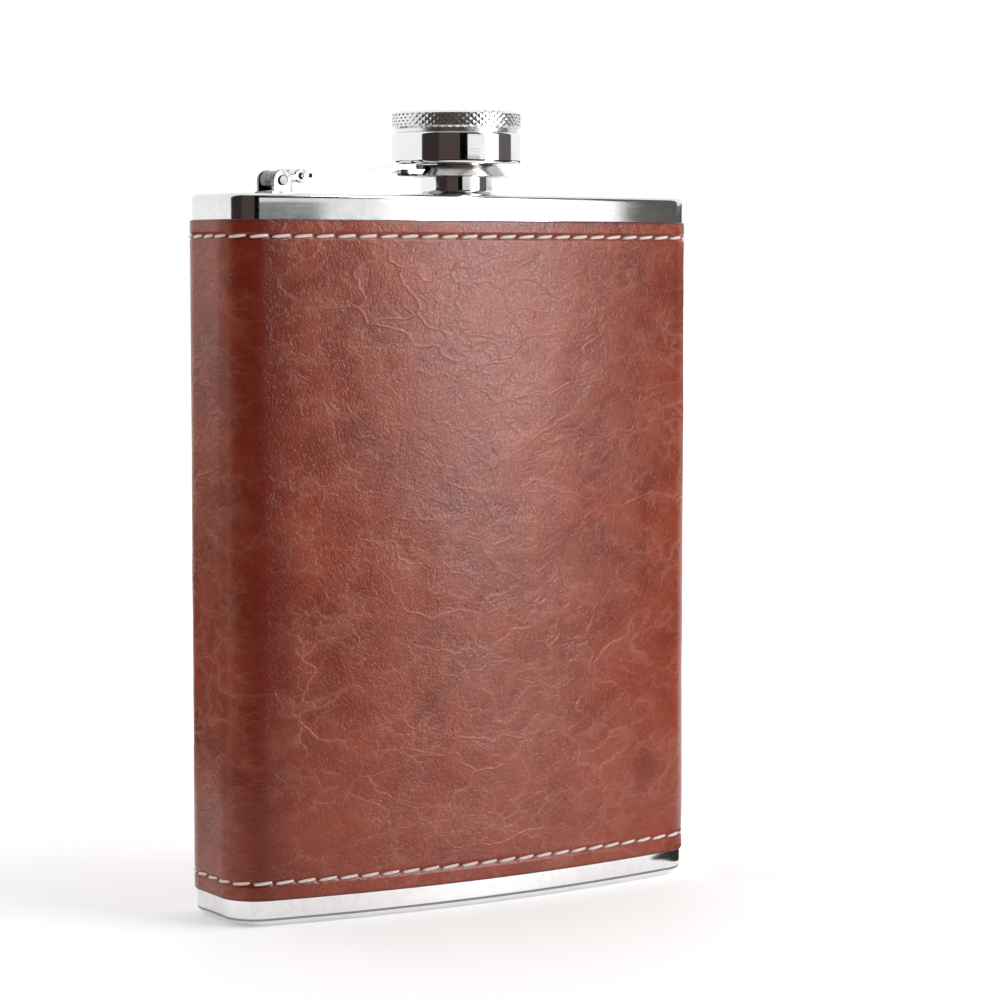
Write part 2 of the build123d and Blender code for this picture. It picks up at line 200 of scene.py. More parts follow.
def new_group(
    name: str, inputs: dict[str, tuple[str, object]], outputs: tuple[str, ...]
) -> tuple[Graph, bpy.types.Node, bpy.types.Node]:
    """Starts a shader node group.

    Args:
        name: the group's name.
        inputs: socket kind and default value for each named input.
        outputs: names of the value outputs.

    Returns:
        The group's graph, its input node and its output node.
    """
    tree = bpy.data.node_groups.new(name, "ShaderNodeTree")
    for label, (kind, default) in inputs.items():
        socket = tree.interface.new_socket(label, in_out="INPUT", socket_type="NodeSocket" + kind)
        if kind != "Vector":
            socket.default_value = default
    for label in outputs:
        tree.interface.new_socket(label, in_out="OUTPUT", socket_type="NodeSocketFloat")
    graph = Graph(tree)
    return graph, tree.nodes.new("NodeGroupInput"), tree.nodes.new("NodeGroupOutput")


class Effects:
    """The effects that several finishes share, each a node group that is built once."""

    def __init__(self) -> None:
        """Builds every group."""
        self.grain = self._grain()
        self.creases = self._creases()
        self.mottle = self._mottle()
        self.scratches = self._scratches()
        self.edge_wear = self._edge_wear()
        self.twist = self._twist()
        self.pores = self._pores()

    @staticmethod
    def place(graph: Graph, group: bpy.types.NodeTree, inputs: dict[str, object]) -> bpy.types.Node:
        """Places a group in a material.

        Args:
            graph: the material's graph.
            group: the group's tree.
            inputs: values or sockets for the group's inputs.

        Returns:
            The group node.
        """
        return graph.add("Group", inputs, node_tree=group)

    @staticmethod
    def _grain() -> bpy.types.NodeTree:
        """Hide grain: small irregular cells with finer pores between them.

        Returns:
            The group.
        """
        graph, source, result = new_group(
            "hide_grain",
            {"Vector": ("Vector", None), "Cell Size": ("Float", 0.8), "Warp": ("Float", 0.25)},
            ("Height", "Valleys"),
        )
        vector = source.outputs["Vector"]
        scale = graph.math("DIVIDE", 1.0, source.outputs["Cell Size"])
        moved = graph.warped(vector, scale, 2.0, source.outputs["Warp"])
        cells = graph.add("TexVoronoi", {"Vector": moved, "Scale": scale}, feature="DISTANCE_TO_EDGE")
        plateau = graph.between(cells.outputs["Distance"], 0.0, 0.16)
        fine = graph.noise(vector, graph.math("MULTIPLY", scale, 3.5), 3.0)
        height = graph.math("ADD", plateau, graph.math("MULTIPLY", fine, 0.45))
        graph.tree.links.new(height, result.inputs["Height"])
        graph.tree.links.new(graph.math("SUBTRACT", 1.0, plateau, clamp=True), result.inputs["Valleys"])
        return graph.tree

    @staticmethod
    def _creases() -> bpy.types.NodeTree:
        """Long thin creases that wander and break off, as in hide that was bent.

        Returns:
            The group.
        """
        graph, source, result = new_group(
            "hide_creases",
            {
                "Vector": ("Vector", None), "Spacing": ("Float", 9.0),
                "Width": ("Float", 0.03), "Amount": ("Float", 0.5),
            },
            ("Crease", "Halo", "Height"),
        )
        flatter = {0: source.outputs["Vector"], 1: (1.0, 1.5, 1.0)}
        vector = graph.add("VectorMath", flatter, operation="MULTIPLY").outputs[0]
        scale = graph.math("DIVIDE", 1.0, source.outputs["Spacing"])
        reach = graph.math("MULTIPLY", source.outputs["Spacing"], 1.7)
        moved = graph.warped(vector, graph.math("MULTIPLY", scale, 0.9), 3.0, reach)
        cells = graph.add("TexVoronoi", {"Vector": moved, "Scale": scale}, feature="DISTANCE_TO_EDGE")
        off = graph.math("DIVIDE", cells.outputs["Distance"], source.outputs["Width"])
        line = graph.math("SUBTRACT", 1.0, off, clamp=True)
        where = graph.noise(vector, graph.math("MULTIPLY", scale, 0.45), 3.0)
        start = graph.math("SUBTRACT", 1.0, source.outputs["Amount"])
        shown = graph.math("MULTIPLY", graph.math("SUBTRACT", where, start), 7.0, clamp=True)
        crease = graph.math("MULTIPLY", graph.math("POWER", line, 1.5), shown)
        bank = graph.math("SUBTRACT", graph.math("MULTIPLY", off, 0.4), 1.0, clamp=True)
        near = graph.math("SUBTRACT", 1.0, graph.math("MULTIPLY", off, 0.16), clamp=True)
        halo = graph.math("MULTIPLY", graph.math("POWER", near, 2.0), shown)
        graph.tree.links.new(crease, result.inputs["Crease"])
        graph.tree.links.new(halo, result.inputs["Halo"])
        height = graph.math("ADD", crease, graph.math("MULTIPLY", graph.math("MULTIPLY", bank, shown), 0.5))
        graph.tree.links.new(height, result.inputs["Height"])
        return graph.tree

    @staticmethod
    def _mottle() -> bpy.types.NodeTree:
        """Cloudy variation of tone, also used for finger marks.

        Returns:
            The group.
        """
        graph, source, result = new_group(
            "mottle",
            {"Vector": ("Vector", None), "Size": ("Float", 12.0), "Contrast": ("Float", 0.25)},
            ("Value",),
        )
        scale = graph.math("DIVIDE", 1.0, source.outputs["Size"])
        cloud = graph.noise(source.outputs["Vector"], scale, 4.0, 0.6, 0.6)
        low = graph.math("SUBTRACT", 0.5, source.outputs["Contrast"])
        span = graph.math("MULTIPLY", source.outputs["Contrast"], 2.0)
        value = graph.math("DIVIDE", graph.math("SUBTRACT", cloud, low), span, clamp=True)
        graph.tree.links.new(value, result.inputs["Value"])
        return graph.tree

    @staticmethod
    def _scratches() -> bpy.types.NodeTree:
        """Fine hairlines from handling, mostly along one direction.

        Returns:
            The group.
        """
        graph, source, result = new_group(
            "hairlines",
            {"Vector": ("Vector", None), "Density": ("Float", 2.0), "Stretch": ("Vector", None)},
            ("Mask", "Height"),
        )
        stretched = graph.add(
            "VectorMath", {0: source.outputs["Vector"], 1: source.outputs["Stretch"]}, operation="MULTIPLY"
        ).outputs[0]
        lines = graph.noise(stretched, source.outputs["Density"], 5.0, 0.3, 0.7)
        mask = graph.between(lines, 0.52, 0.68)
        graph.tree.links.new(mask, result.inputs["Mask"])
        graph.tree.links.new(lines, result.inputs["Height"])
        return graph.tree

    @staticmethod
    def _edge_wear() -> bpy.types.NodeTree:
        """Worn outer edges, broken up so that they aren't an even line.

        Returns:
            The group.
        """
        graph, source, result = new_group(
            "edge_wear",
            {"Vector": ("Vector", None), "Patch Size": ("Float", 1.5), "Strength": ("Float", 1.0)},
            ("Wear",),
        )
        sharp = graph.between(graph.add("NewGeometry").outputs["Pointiness"], 0.51, 0.56)
        scale = graph.math("DIVIDE", 1.0, source.outputs["Patch Size"])
        patches = graph.noise(source.outputs["Vector"], scale)
        wear = graph.math("MULTIPLY", sharp, graph.between(patches, 0.35, 0.6))
        wear = graph.math("MULTIPLY", wear, source.outputs["Strength"], clamp=True)
        graph.tree.links.new(wear, result.inputs["Wear"])
        return graph.tree

    @staticmethod
    def _pores() -> bpy.types.NodeTree:
        """Scattered dark pores.

        Returns:
            The group.
        """
        graph, source, result = new_group(
            "pores",
            {"Vector": ("Vector", None), "Spacing": ("Float", 1.5), "Size": ("Float", 0.12)},
            ("Mask",),
        )
        scale = graph.math("DIVIDE", 1.0, source.outputs["Spacing"])
        dots = graph.add("TexVoronoi", {"Vector": source.outputs["Vector"], "Scale": scale}, feature="F1")
        near = graph.math("DIVIDE", dots.outputs["Distance"], source.outputs["Size"])
        spot = graph.math("SUBTRACT", 1.0, near, clamp=True)
        chance = graph.add("SeparateColor", {0: dots.outputs["Color"]}).outputs[0]
        mask = graph.math("MULTIPLY", spot, graph.between(chance, 0.35, 0.9))
        graph.tree.links.new(mask, result.inputs["Mask"])
        return graph.tree

    @staticmethod
    def _twist() -> bpy.types.NodeTree:
        """Plies of a twisted thread, along U with the turn round it in V.

        Returns:
            The group.
        """
        graph, source, result = new_group(
            "thread_twist",
            {"Vector": ("Vector", None), "Plies per Unit": ("Float", 1.0), "Plies": ("Float", 3.0)},
            ("Height", "Gap"),
        )
        split = graph.add("SeparateXYZ", {0: source.outputs["Vector"]})
        along = graph.math("MULTIPLY", split.outputs[0], source.outputs["Plies per Unit"])
        phase = graph.math("ADD", along, graph.math("MULTIPLY", split.outputs[1], source.outputs["Plies"]))
        wave = graph.math("ABSOLUTE", graph.math("SINE", graph.math("MULTIPLY", phase, math.pi)))
        graph.tree.links.new(wave, result.inputs["Height"])
        gap = graph.between(wave, 0.0, 0.5, 1.0, 0.0)
        graph.tree.links.new(gap, result.inputs["Gap"])
        return graph.tree


def start_material(name: str) -> tuple[bpy.types.Material, Graph, bpy.types.Node]:
    """Makes an empty node material with its surface shader.

    Args:
        name: the material's name.

    Returns:
        The material, its graph and its Principled BSDF.
    """
    material = bpy.data.materials.new(name)
    material.use_nodes = True
    material.node_tree.nodes.clear()
    graph = Graph(material.node_tree)
    shader = graph.add("BsdfPrincipled")
    output = graph.add("OutputMaterial")
    graph.tree.links.new(shader.outputs[0], output.inputs[0])
    return material, graph, shader


def object_millimetres(graph: Graph) -> bpy.types.NodeSocket:
    """Object coordinates in millimetres.

    Args:
        graph: the material's graph.

    Returns:
        The coordinates' socket.
    """
    at = graph.add("TexCoord").outputs["Object"]
    scale = (1 / MM, 1 / MM, 1 / MM)
    return graph.add("VectorMath", {0: at, 1: scale}, operation="MULTIPLY").outputs[0]


@dataclass(frozen=True)
class SteelFinish:
    """Polished stainless steel with hairlines, finger marks and softly worn edges."""

    name: str
    colour: Colour
    shaded_colour: Colour
    roughness: float
    hairline_stretch: tuple[float, float, float]
    hairline_density: float = 1.4
    mark_size: float = 9.0
    bump: float = 0.04

    def material(self, effects: Effects) -> bpy.types.Material:
        """Builds the material.

        Args:
            effects: the shared node groups.

        Returns:
            The material.
        """
        material, graph, shader = start_material(self.name)
        at = object_millimetres(graph)
        marks = effects.place(graph, effects.mottle, {"Vector": at, "Size": self.mark_size, "Contrast": 0.2})
        lines = effects.place(
            graph,
            effects.scratches,
            {"Vector": at, "Density": self.hairline_density, "Stretch": self.hairline_stretch},
        )
        wear = effects.place(graph, effects.edge_wear, {"Vector": at, "Patch Size": 1.2, "Strength": 0.6})
        tone = graph.mix(graph.math("MULTIPLY", marks.outputs[0], 0.5), self.colour, self.shaded_colour)
        tone = graph.mix(graph.math("MULTIPLY", wear.outputs[0], 0.5), tone, (0.95, 0.94, 0.92))
        rough = graph.math("ADD", graph.math("MULTIPLY", lines.outputs["Mask"], 0.07), self.roughness)
        rough = graph.math("ADD", rough, graph.math("MULTIPLY", marks.outputs[0], 0.05))
        height = lines.outputs["Height"]
        bump = graph.add("Bump", {"Height": height, "Strength": self.bump, "Distance": 0.02 * MM})
        shader.inputs["Metallic"].default_value = 1.0
        graph.tree.links.new(tone, shader.inputs["Base Color"])
        graph.tree.links.new(rough, shader.inputs["Roughness"])
        graph.tree.links.new(bump.outputs[0], shader.inputs["Normal"])
        return material


@dataclass(frozen=True)
class LeatherFinish:
    """Waxed pull-up leather: cloudy red brown, pale creases, fine grain and a glossy wax coat."""

    name: str
    deep: Colour
    middle: Colour
    bright: Colour
    crease: Colour
    edge: Colour
    # colour of the painted shade at the hinge side's front corner
    painted_corner_shade: Colour
    sheet_height: float
    corner: float
    uv_map: str = "sheet"
    edge_band: float = 0.7
    roughness: float = 0.23

    def material(self, effects: Effects) -> bpy.types.Material:
        """Builds the material; the UV map is the flat sheet in millimetres.

        Args:
            effects: the shared node groups.

        Returns:
            The material.
        """
        material, graph, shader = start_material(self.name)
        sheet = graph.add("UVMap", uv_map=self.uv_map).outputs[0]
        clouds = effects.place(graph, effects.mottle, {"Vector": sheet, "Size": 26.0, "Contrast": 0.12})
        patches = effects.place(graph, effects.mottle, {"Vector": sheet, "Size": 8.0, "Contrast": 0.2})
        specks = effects.place(graph, effects.mottle, {"Vector": sheet, "Size": 1.4, "Contrast": 0.22})
        long_folds = effects.place(
            graph, effects.creases, {"Vector": sheet, "Spacing": 15.0, "Width": 0.05, "Amount": 0.58}
        )
        short_folds = effects.place(
            graph, effects.creases, {"Vector": sheet, "Spacing": 5.0, "Width": 0.11, "Amount": 0.57}
        )
        haze = effects.place(graph, effects.mottle, {"Vector": sheet, "Size": 15.0, "Contrast": 0.13})
        pores = effects.place(graph, effects.pores, {"Vector": sheet, "Spacing": 2.1, "Size": 0.16})
        grain = effects.place(graph, effects.grain, {"Vector": sheet, "Cell Size": 0.8, "Warp": 0.7})
        tone = graph.mix(clouds.outputs[0], self.deep, self.middle)
        tone = graph.mix(graph.math("MULTIPLY", patches.outputs[0], 0.6), tone, self.bright)
        tone = graph.mix(graph.math("MULTIPLY", specks.outputs[0], 0.3), tone, self.deep)
        folds = graph.math("MULTIPLY", short_folds.outputs["Crease"], 0.7)
        folds = graph.math("MAXIMUM", long_folds.outputs["Crease"], folds)
        tone = graph.mix(graph.math("MULTIPLY", haze.outputs[0], 0.10), tone, self.crease)
        halo = graph.math("MULTIPLY", short_folds.outputs["Halo"], 0.8)
        halo = graph.math("MAXIMUM", long_folds.outputs["Halo"], halo)
        tone = graph.mix(graph.math("MULTIPLY", halo, 0.17), tone, self.crease)
        tone = graph.mix(graph.math("MULTIPLY", folds, 0.34), tone, self.crease)
        tone = graph.mix(graph.math("MULTIPLY", grain.outputs["Valleys"], 0.3), tone, self.deep)
        # Painted shade: the leather darkens round the hinge side's front corner.
        tone = graph.mix(graph.math("MULTIPLY", self._painted_corner_shade_mask(graph, sheet), 0.85), tone, self.painted_corner_shade)
        tone = graph.mix(graph.math("MULTIPLY", pores.outputs[0], 0.8), tone, self.edge)
        tone = graph.mix(self._cut_edges(graph, sheet), tone, self.edge)
        rough = graph.math("ADD", graph.math("MULTIPLY", patches.outputs[0], 0.08), self.roughness)
        rough = graph.math("ADD", rough, graph.math("MULTIPLY", folds, 0.1))
        height = graph.math("MULTIPLY", grain.outputs["Height"], 0.3)
        height = graph.math("ADD", height, graph.math("MULTIPLY", long_folds.outputs["Height"], 0.9))
        height = graph.math("ADD", height, graph.math("MULTIPLY", short_folds.outputs["Height"], 0.5))
        height = graph.math("ADD", height, graph.math("MULTIPLY", patches.outputs[0], 1.5))
        height = graph.math("SUBTRACT", height, graph.math("MULTIPLY", pores.outputs[0], 0.8))
        bump = graph.add("Bump", {"Height": height, "Strength": 0.45, "Distance": 0.12 * MM})
        shader.inputs["Specular IOR Level"].default_value = 0.30
        shader.inputs["Coat Weight"].default_value = 0.12
        shader.inputs["Coat Roughness"].default_value = 0.22
        graph.tree.links.new(tone, shader.inputs["Base Color"])
        graph.tree.links.new(rough, shader.inputs["Roughness"])
        graph.tree.links.new(bump.outputs[0], shader.inputs["Normal"])
        return material

    def _painted_corner_shade_mask(self, graph: Graph, sheet: bpy.types.NodeSocket) -> bpy.types.NodeSocket:
        """Mask of painted shade: a darker band round the front corner on the hinge side.

        Args:
            graph: the material's graph.
            sheet: flat-sheet coordinates in millimetres.

        Returns:
            The mask's socket.
        """
        along = graph.add("SeparateXYZ", {0: sheet}).outputs[0]
        ragged = graph.math("MULTIPLY", graph.noise(sheet, 0.12, 4.0), 9.0)
        along = graph.math("ADD", along, ragged)
        rise = graph.between(along, self.corner - 3.0, self.corner + 4.0)
        fall = graph.between(along, self.corner + 4.0, self.corner + 12.0, 1.0, 0.0)
        return graph.math("MULTIPLY", rise, fall)

    def _cut_edges(self, graph: Graph, sheet: bpy.types.NodeSocket) -> bpy.types.NodeSocket:
        """Mask of the dyed cut edges above and below.

        Args:
            graph: the material's graph.
            sheet: flat-sheet coordinates in millimetres.

        Returns:
            The mask's socket.
        """
        height = graph.add("SeparateXYZ", {0: sheet}).outputs[1]
        low = graph.between(height, 0.0, self.edge_band, 1.0, 0.0)
        high = graph.between(height, self.sheet_height - self.edge_band, self.sheet_height)
        return graph.math("MULTIPLY", graph.math("MAXIMUM", low, high), 0.7)


@dataclass(frozen=True)
class ThreadFinish:
    """Thick cream waxed thread of twisted plies."""

    name: str
    colour: Colour
    # darker colour, used both for the painted shade between the plies and for dirt
    shade: Colour
    uv_map: str = "thread"

    def material(self, effects: Effects) -> bpy.types.Material:
        """Builds the material; U is millimetres along the row and V the turn round the thread.

        Args:
            effects: the shared node groups.

        Returns:
            The material.
        """
        material, graph, shader = start_material(self.name)
        at = graph.add("UVMap", uv_map=self.uv_map).outputs[0]
        twist = effects.place(graph, effects.twist, {"Vector": at, "Plies per Unit": 1.5, "Plies": 3.0})
        dirt = effects.place(
            graph, effects.mottle, {"Vector": object_millimetres(graph), "Size": 2.5, "Contrast": 0.25}
        )
        # Painted shade in the gaps between the plies; the dirty patches on the next line darken towards the
        # same colour.
        tone = graph.mix(graph.math("MULTIPLY", twist.outputs["Gap"], 0.5), self.colour, self.shade)
        tone = graph.mix(graph.math("MULTIPLY", dirt.outputs[0], 0.25), tone, self.shade)
        rough = graph.math("ADD", graph.math("MULTIPLY", dirt.outputs[0], 0.15), 0.5)
        bump = graph.add("Bump", {"Height": twist.outputs["Height"], "Strength": 0.7, "Distance": 0.1 * MM})
        shader.inputs["Sheen Weight"].default_value = 0.2
        graph.tree.links.new(tone, shader.inputs["Base Color"])
        graph.tree.links.new(rough, shader.inputs["Roughness"])
        graph.tree.links.new(bump.outputs[0], shader.inputs["Normal"])
        return material


@dataclass(frozen=True)
class SiliconeFinish:
    """Milky silicone with a faintly uneven skin."""

    name: str
    colour: Colour
    shade: Colour

    def material(self, effects: Effects) -> bpy.types.Material:
        """Builds the material.

        Args:
            effects: the shared node groups.

        Returns:
            The material.
        """
        material, graph, shader = start_material(self.name)
        at = object_millimetres(graph)
        cloud = effects.place(graph, effects.mottle, {"Vector": at, "Size": 3.0, "Contrast": 0.3})
        tone = graph.mix(graph.math("MULTIPLY", cloud.outputs[0], 0.5), self.colour, self.shade)
        rough = graph.math("ADD", graph.math("MULTIPLY", cloud.outputs[0], 0.12), 0.4)
        bump = graph.add("Bump", {"Height": cloud.outputs[0], "Strength": 0.2, "Distance": 0.05 * MM})
        shader.inputs["Subsurface Weight"].default_value = 0.2
        shader.inputs["Subsurface Scale"].default_value = 1.0 * MM
        graph.tree.links.new(tone, shader.inputs["Base Color"])
        graph.tree.links.new(rough, shader.inputs["Roughness"])
        graph.tree.links.new(bump.outputs[0], shader.inputs["Normal"])
        return material


class Finish(Enum):
    """The finishes of the flask: what each one dresses, and the record's slot that it stands for."""

    PLATE_STEEL = ("plates", "polished_steel")
    SMALL_STEEL = ("small parts", "polished_steel")
    HINGE_STEEL = ("hinge", "polished_steel")
    CAP_STEEL = ("cup", "cap_steel")
    GRIP_STEEL = ("grip", "cap_steel")
    LEATHER = ("wrap", "brown_leather")
    THREAD = ("stitches", "waxed_thread")
    SILICONE = ("washer", "silicone")

    @property
    def slot(self) -> str:
        """Name of the record's material slot."""
        return self.value[1]


class Workshop:
    """Holds the materials, and turns a bmesh into a finished piece of the flask."""

    SHARP = math.radians(38)

    def __init__(self, leather_height: float, front_corner: float) -> None:
        """Builds the shared effects and every finish.

        Args:
            leather_height: height of the leather, in millimetres.
            front_corner: distance of the hinge side's front corner along the leather, in millimetres.
        """
        effects = Effects()
        finishes = {
            Finish.PLATE_STEEL: SteelFinish(
                "plate_steel", (0.80, 0.80, 0.81), (0.68, 0.68, 0.69), 0.07, (0.12, 0.12, 3.0)
            ),
            Finish.SMALL_STEEL: SteelFinish(
                "stamped_steel", (0.80, 0.78, 0.76), (0.60, 0.57, 0.54), 0.15, (1.5, 1.5, 1.5), 2.4, 2.0
            ),
            Finish.HINGE_STEEL: SteelFinish(
                "hinge_steel", (0.11, 0.105, 0.10), (0.02, 0.019, 0.018), 0.2, (1.5, 1.5, 1.5), 2.4, 1.3
            ),
            Finish.CAP_STEEL: SteelFinish(
                "cap_chrome", (0.90, 0.90, 0.90), (0.80, 0.80, 0.80), 0.045, (0.2, 0.2, 4.0)
            ),
            Finish.GRIP_STEEL: SteelFinish(
                "grip_chrome", (0.90, 0.90, 0.90), (0.80, 0.80, 0.80), 0.22, (0.2, 0.2, 4.0)
            ),
            Finish.LEATHER: LeatherFinish(
                "pull_up_leather",
                deep=(0.150, 0.0145, 0.0050),
                middle=(0.265, 0.0330, 0.0095),
                bright=(0.38, 0.062, 0.0130),
                crease=(0.45, 0.155, 0.10),
                edge=(0.05, 0.012, 0.008),
                # painted shade colour for the hinge side's front corner
                painted_corner_shade=(0.145, 0.0100, 0.003),
                sheet_height=leather_height,
                corner=front_corner,
            ),
            Finish.THREAD: ThreadFinish("cream_thread", (0.88, 0.79, 0.73), (0.42, 0.28, 0.22)),
            Finish.SILICONE: SiliconeFinish("milky_silicone", (0.80, 0.79, 0.75), (0.62, 0.60, 0.55)),
        }
        self.materials = {key: finish.material(effects) for key, finish in finishes.items()}

    def piece(
        self, name: str, mesh: bmesh.types.BMesh, finish: Finish, body: str, stands_for: str,
        all_smooth: bool = False, even: bool = False,
    ) -> bpy.types.Object:
        """Makes an object of a bmesh, dresses it and ties it to its body.

        Args:
            name: the object's name.
            mesh: the shape, in the frame's coordinates; it is freed.
            finish: which finish it gets.
            body: CAD body that it rides on.
            stands_for: CAD node that it replaces.
            all_smooth: whether no edge is kept sharp.
            even: whether its flat faces are kept flat beside rounded edges.

        Returns:
            The finished object.
        """
        for face in mesh.faces:
            face.smooth = True
        if not all_smooth:
            for edge in mesh.edges:
                edge.smooth = len(edge.link_faces) != 2 or edge.calc_face_angle(0.0) < self.SHARP
        data = bpy.data.meshes.new(name)
        mesh.to_mesh(data)
        mesh.free()
        data.materials.append(self.materials[finish])
        obj = bpy.data.objects.new(name, data)
        bpy.context.scene.collection.objects.link(obj)
        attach(obj, body)
        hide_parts(stands_for)
        if even:
            self.even_normals(obj)
        LOG.info("%s: %d faces on body %s", name, len(data.polygons), body)
        return obj

    def refine(self, node: str, finish: Finish, rounding: float = 0.0) -> None:
        """Gives a carried-over CAD node its material, merged faces and rounded edges.

        Args:
            node: the node's name.
            finish: which finish it gets.
            rounding: width of the rounded edges, in metres; none if zero.
        """
        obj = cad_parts[node]
        obj.data.materials.clear()
        obj.data.materials.append(self.materials[finish])
        for polygon in obj.data.polygons:
            polygon.use_smooth = True
        weld = obj.modifiers.new("weld", "WELD")
        weld.merge_threshold = 0.002 * MM
        flat = obj.modifiers.new("merge_flats", "DECIMATE")
        flat.decimate_type = "DISSOLVE"
        flat.angle_limit = math.radians(0.5)
        if rounding:
            bevel = obj.modifiers.new("rounding", "BEVEL")
            bevel.width = rounding
            bevel.segments = 3
            bevel.limit_method = "ANGLE"
            bevel.angle_limit = self.SHARP
        split = obj.modifiers.new("sharp_edges", "EDGE_SPLIT")
        split.split_angle = self.SHARP
        self.even_normals(obj)

    @staticmethod
    def even_normals(obj: bpy.types.Object) -> None:
        """Lets large flat faces stay flat beside rounded edges.

        Args:
            obj: the object to shade.
        """
        modifier = obj.modifiers.new("even_normals", "WEIGHTED_NORMAL")
        modifier.keep_sharp = True
        modifier.weight = 50


# ---------------------------------------------------------------- shapes


def lathe(
    points: list[tuple[float, float]], centre: Vector, rounding: dict[int, float] | None = None,
    steps: int = 128,
) -> bmesh.types.BMesh:
    """Spins a closed profile about an upright axis.

    Args:
        points: (radius, height) corners of the profile, in metres.
        centre: a point on the axis; heights count from it.
        rounding: bevel size for each corner that is rounded, by its index.
        steps: steps in a full turn.

    Returns:
        The turned shape.
    """
    mesh = bmesh.new()
    corners = [mesh.verts.new(centre + Vector((radius, 0.0, height))) for radius, height in points]
    for index, corner in enumerate(corners):
        mesh.edges.new((corner, corners[(index + 1) % len(corners)]))
    for index, size in (rounding or {}).items():
        bmesh.ops.bevel(
            mesh, geom=[corners[index]], offset=size, offset_type="OFFSET", segments=5, profile=0.5,
            affect="VERTICES", material=-1,
        )
    bmesh.ops.spin(
        mesh, geom=mesh.verts[:] + mesh.edges[:], cent=centre, axis=(0, 0, 1),
        angle=TURN, steps=steps, use_merge=True,
    )
    bmesh.ops.remove_doubles(mesh, verts=mesh.verts, dist=TOUCH)
    bmesh.ops.recalc_face_normals(mesh, faces=mesh.faces)
    return mesh


@dataclass
class BodyPlan:
    """Plan of the flask, a rounded rectangle bent to a convex front, walked from the back's middle."""

    width: float
    neck_y: float
    thickness: float = 22.0 * MM
    front_radius: float = 230.0 * MM
    corner_radius: float = 7.0 * MM
    length: float = field(init=False)
    _arcs: list[tuple[float, Vector, float, float, float]] = field(init=False, default_factory=list)

    def __post_init__(self) -> None:
        """Works out the arcs and straights of the outline."""
        half, corner = self.width / 2, self.corner_radius
        front, back = self.front_radius, self.front_radius - self.thickness
        centre = Vector((0, self.neck_y + front - self.thickness / 2))
        inner = half - corner
        front_lean = math.asin(inner / (front - corner))
        back_lean = math.asin(inner / (back + corner))
        front_corner = Vector((inner, centre.y - (front - corner) * math.cos(front_lean)))
        back_corner = Vector((inner, centre.y - (back + corner) * math.cos(back_lean)))
        mirror = Vector((-1, 1))
        right = math.pi / 2
        side = back_corner.y - front_corner.y
        round_front, round_back = corner * (right - front_lean), corner * (right + back_lean)
        self._arcs = [
            (back * back_lean, centre, back, -right, -back_lean),
            (round_back, back_corner * mirror, corner, right - back_lean, right + back_lean),
            (side, Vector((-half, back_corner.y)), 0.0, -right, 0.0),
            (round_front, front_corner * mirror, corner, math.pi, right - front_lean),
            (2 * front * front_lean, centre, front, -right - front_lean, 2 * front_lean),
            (round_front, front_corner, corner, front_lean - right, right - front_lean),
            (side, Vector((half, front_corner.y)), 0.0, right, 0.0),
            (round_back, back_corner, corner, 0.0, right + back_lean),
            (back * back_lean, centre, back, back_lean - right, -back_lean),
        ]
        self.length = sum(arc[0] for arc in self._arcs)

    def front_corner(self) -> float:
        """Distance where the hinge side's front corner meets the front."""
        return sum(arc[0] for arc in self._arcs[:4])

    def at(self, distance: float) -> tuple[Vector, Vector]:
        """Point of the leather's outer face, and the outward direction there.

        Args:
            distance: distance along the outline from the middle of the back, in metres.

        Returns:
            The point and the outward unit vector, in plan.
        """
        rest = distance
        for run, centre, radius, start, sweep in self._arcs[:-1]:
            if rest <= run:
                break
            rest -= run
        else:
            run, centre, radius, start, sweep = self._arcs[-1]
        if radius == 0.0:
            along = Vector((math.cos(start), math.sin(start)))
            return centre + along * rest, Vector((along.y, -along.x))
        angle = start + sweep * rest / run
        spoke = Vector((math.cos(angle), math.sin(angle)))
        return centre + spoke * radius, spoke * math.copysign(1.0, sweep)

    def place(self, distance: float, outwards: float, height: float) -> Vector:
        """Point at a distance along the outline, out from the leather's face, at a height.

        Args:
            distance: distance along the outline.
            outwards: distance outside the leather's face; negative is inside it.
            height: height above the floor.

        Returns:
            The point.
        """
        point, normal = self.at(distance)
        flat = point + normal * outwards
        return Vector((flat.x, flat.y, height))

    def strip(self, columns: int, rows: list[tuple[float, float]], gap: float = 0.0) -> bmesh.types.BMesh:
        """Wraps a grid round the outline, with one row of it at each (outwards, height).

        Args:
            columns: how many faces it has along the outline.
            rows: (outwards, height) of each row.
            gap: opening left at the middle of the back; the ends are joined if there is none.

        Returns:
            The mesh, with each vertex's distance along the outline in its layer "along".
        """
        mesh = bmesh.new()
        bmesh.ops.create_grid(mesh, x_segments=columns, y_segments=len(rows) - 1, size=1.0)
        along = mesh.verts.layers.float.new("along")
        for vert in mesh.verts:
            vert[along] = gap / 2 + (self.length - gap) * (vert.co.x + 1) / 2
            row = round((vert.co.y + 1) / 2 * (len(rows) - 1))
            vert.co = self.place(vert[along], *rows[row])
        if not gap:
            bmesh.ops.remove_doubles(mesh, verts=mesh.verts, dist=TOUCH)
        return mesh


def rounded_rows(
    centre: tuple[float, float], radius: float, start: float, sweep: float
) -> list[tuple[float, float]]:
    """Rows along a part of a circle.

    Args:
        centre: (outwards, height) of the circle's centre.
        radius: its radius.
        start: angle of the first row, in degrees, from outwards towards up.
        sweep: angle from the first row to the last, in degrees.

    Returns:
        (outwards, height) of each row.
    """
    angles = [math.radians(start + sweep * step / 6) for step in range(7)]
    return [(centre[0] + radius * math.cos(angle), centre[1] + radius * math.sin(angle)) for angle in angles]


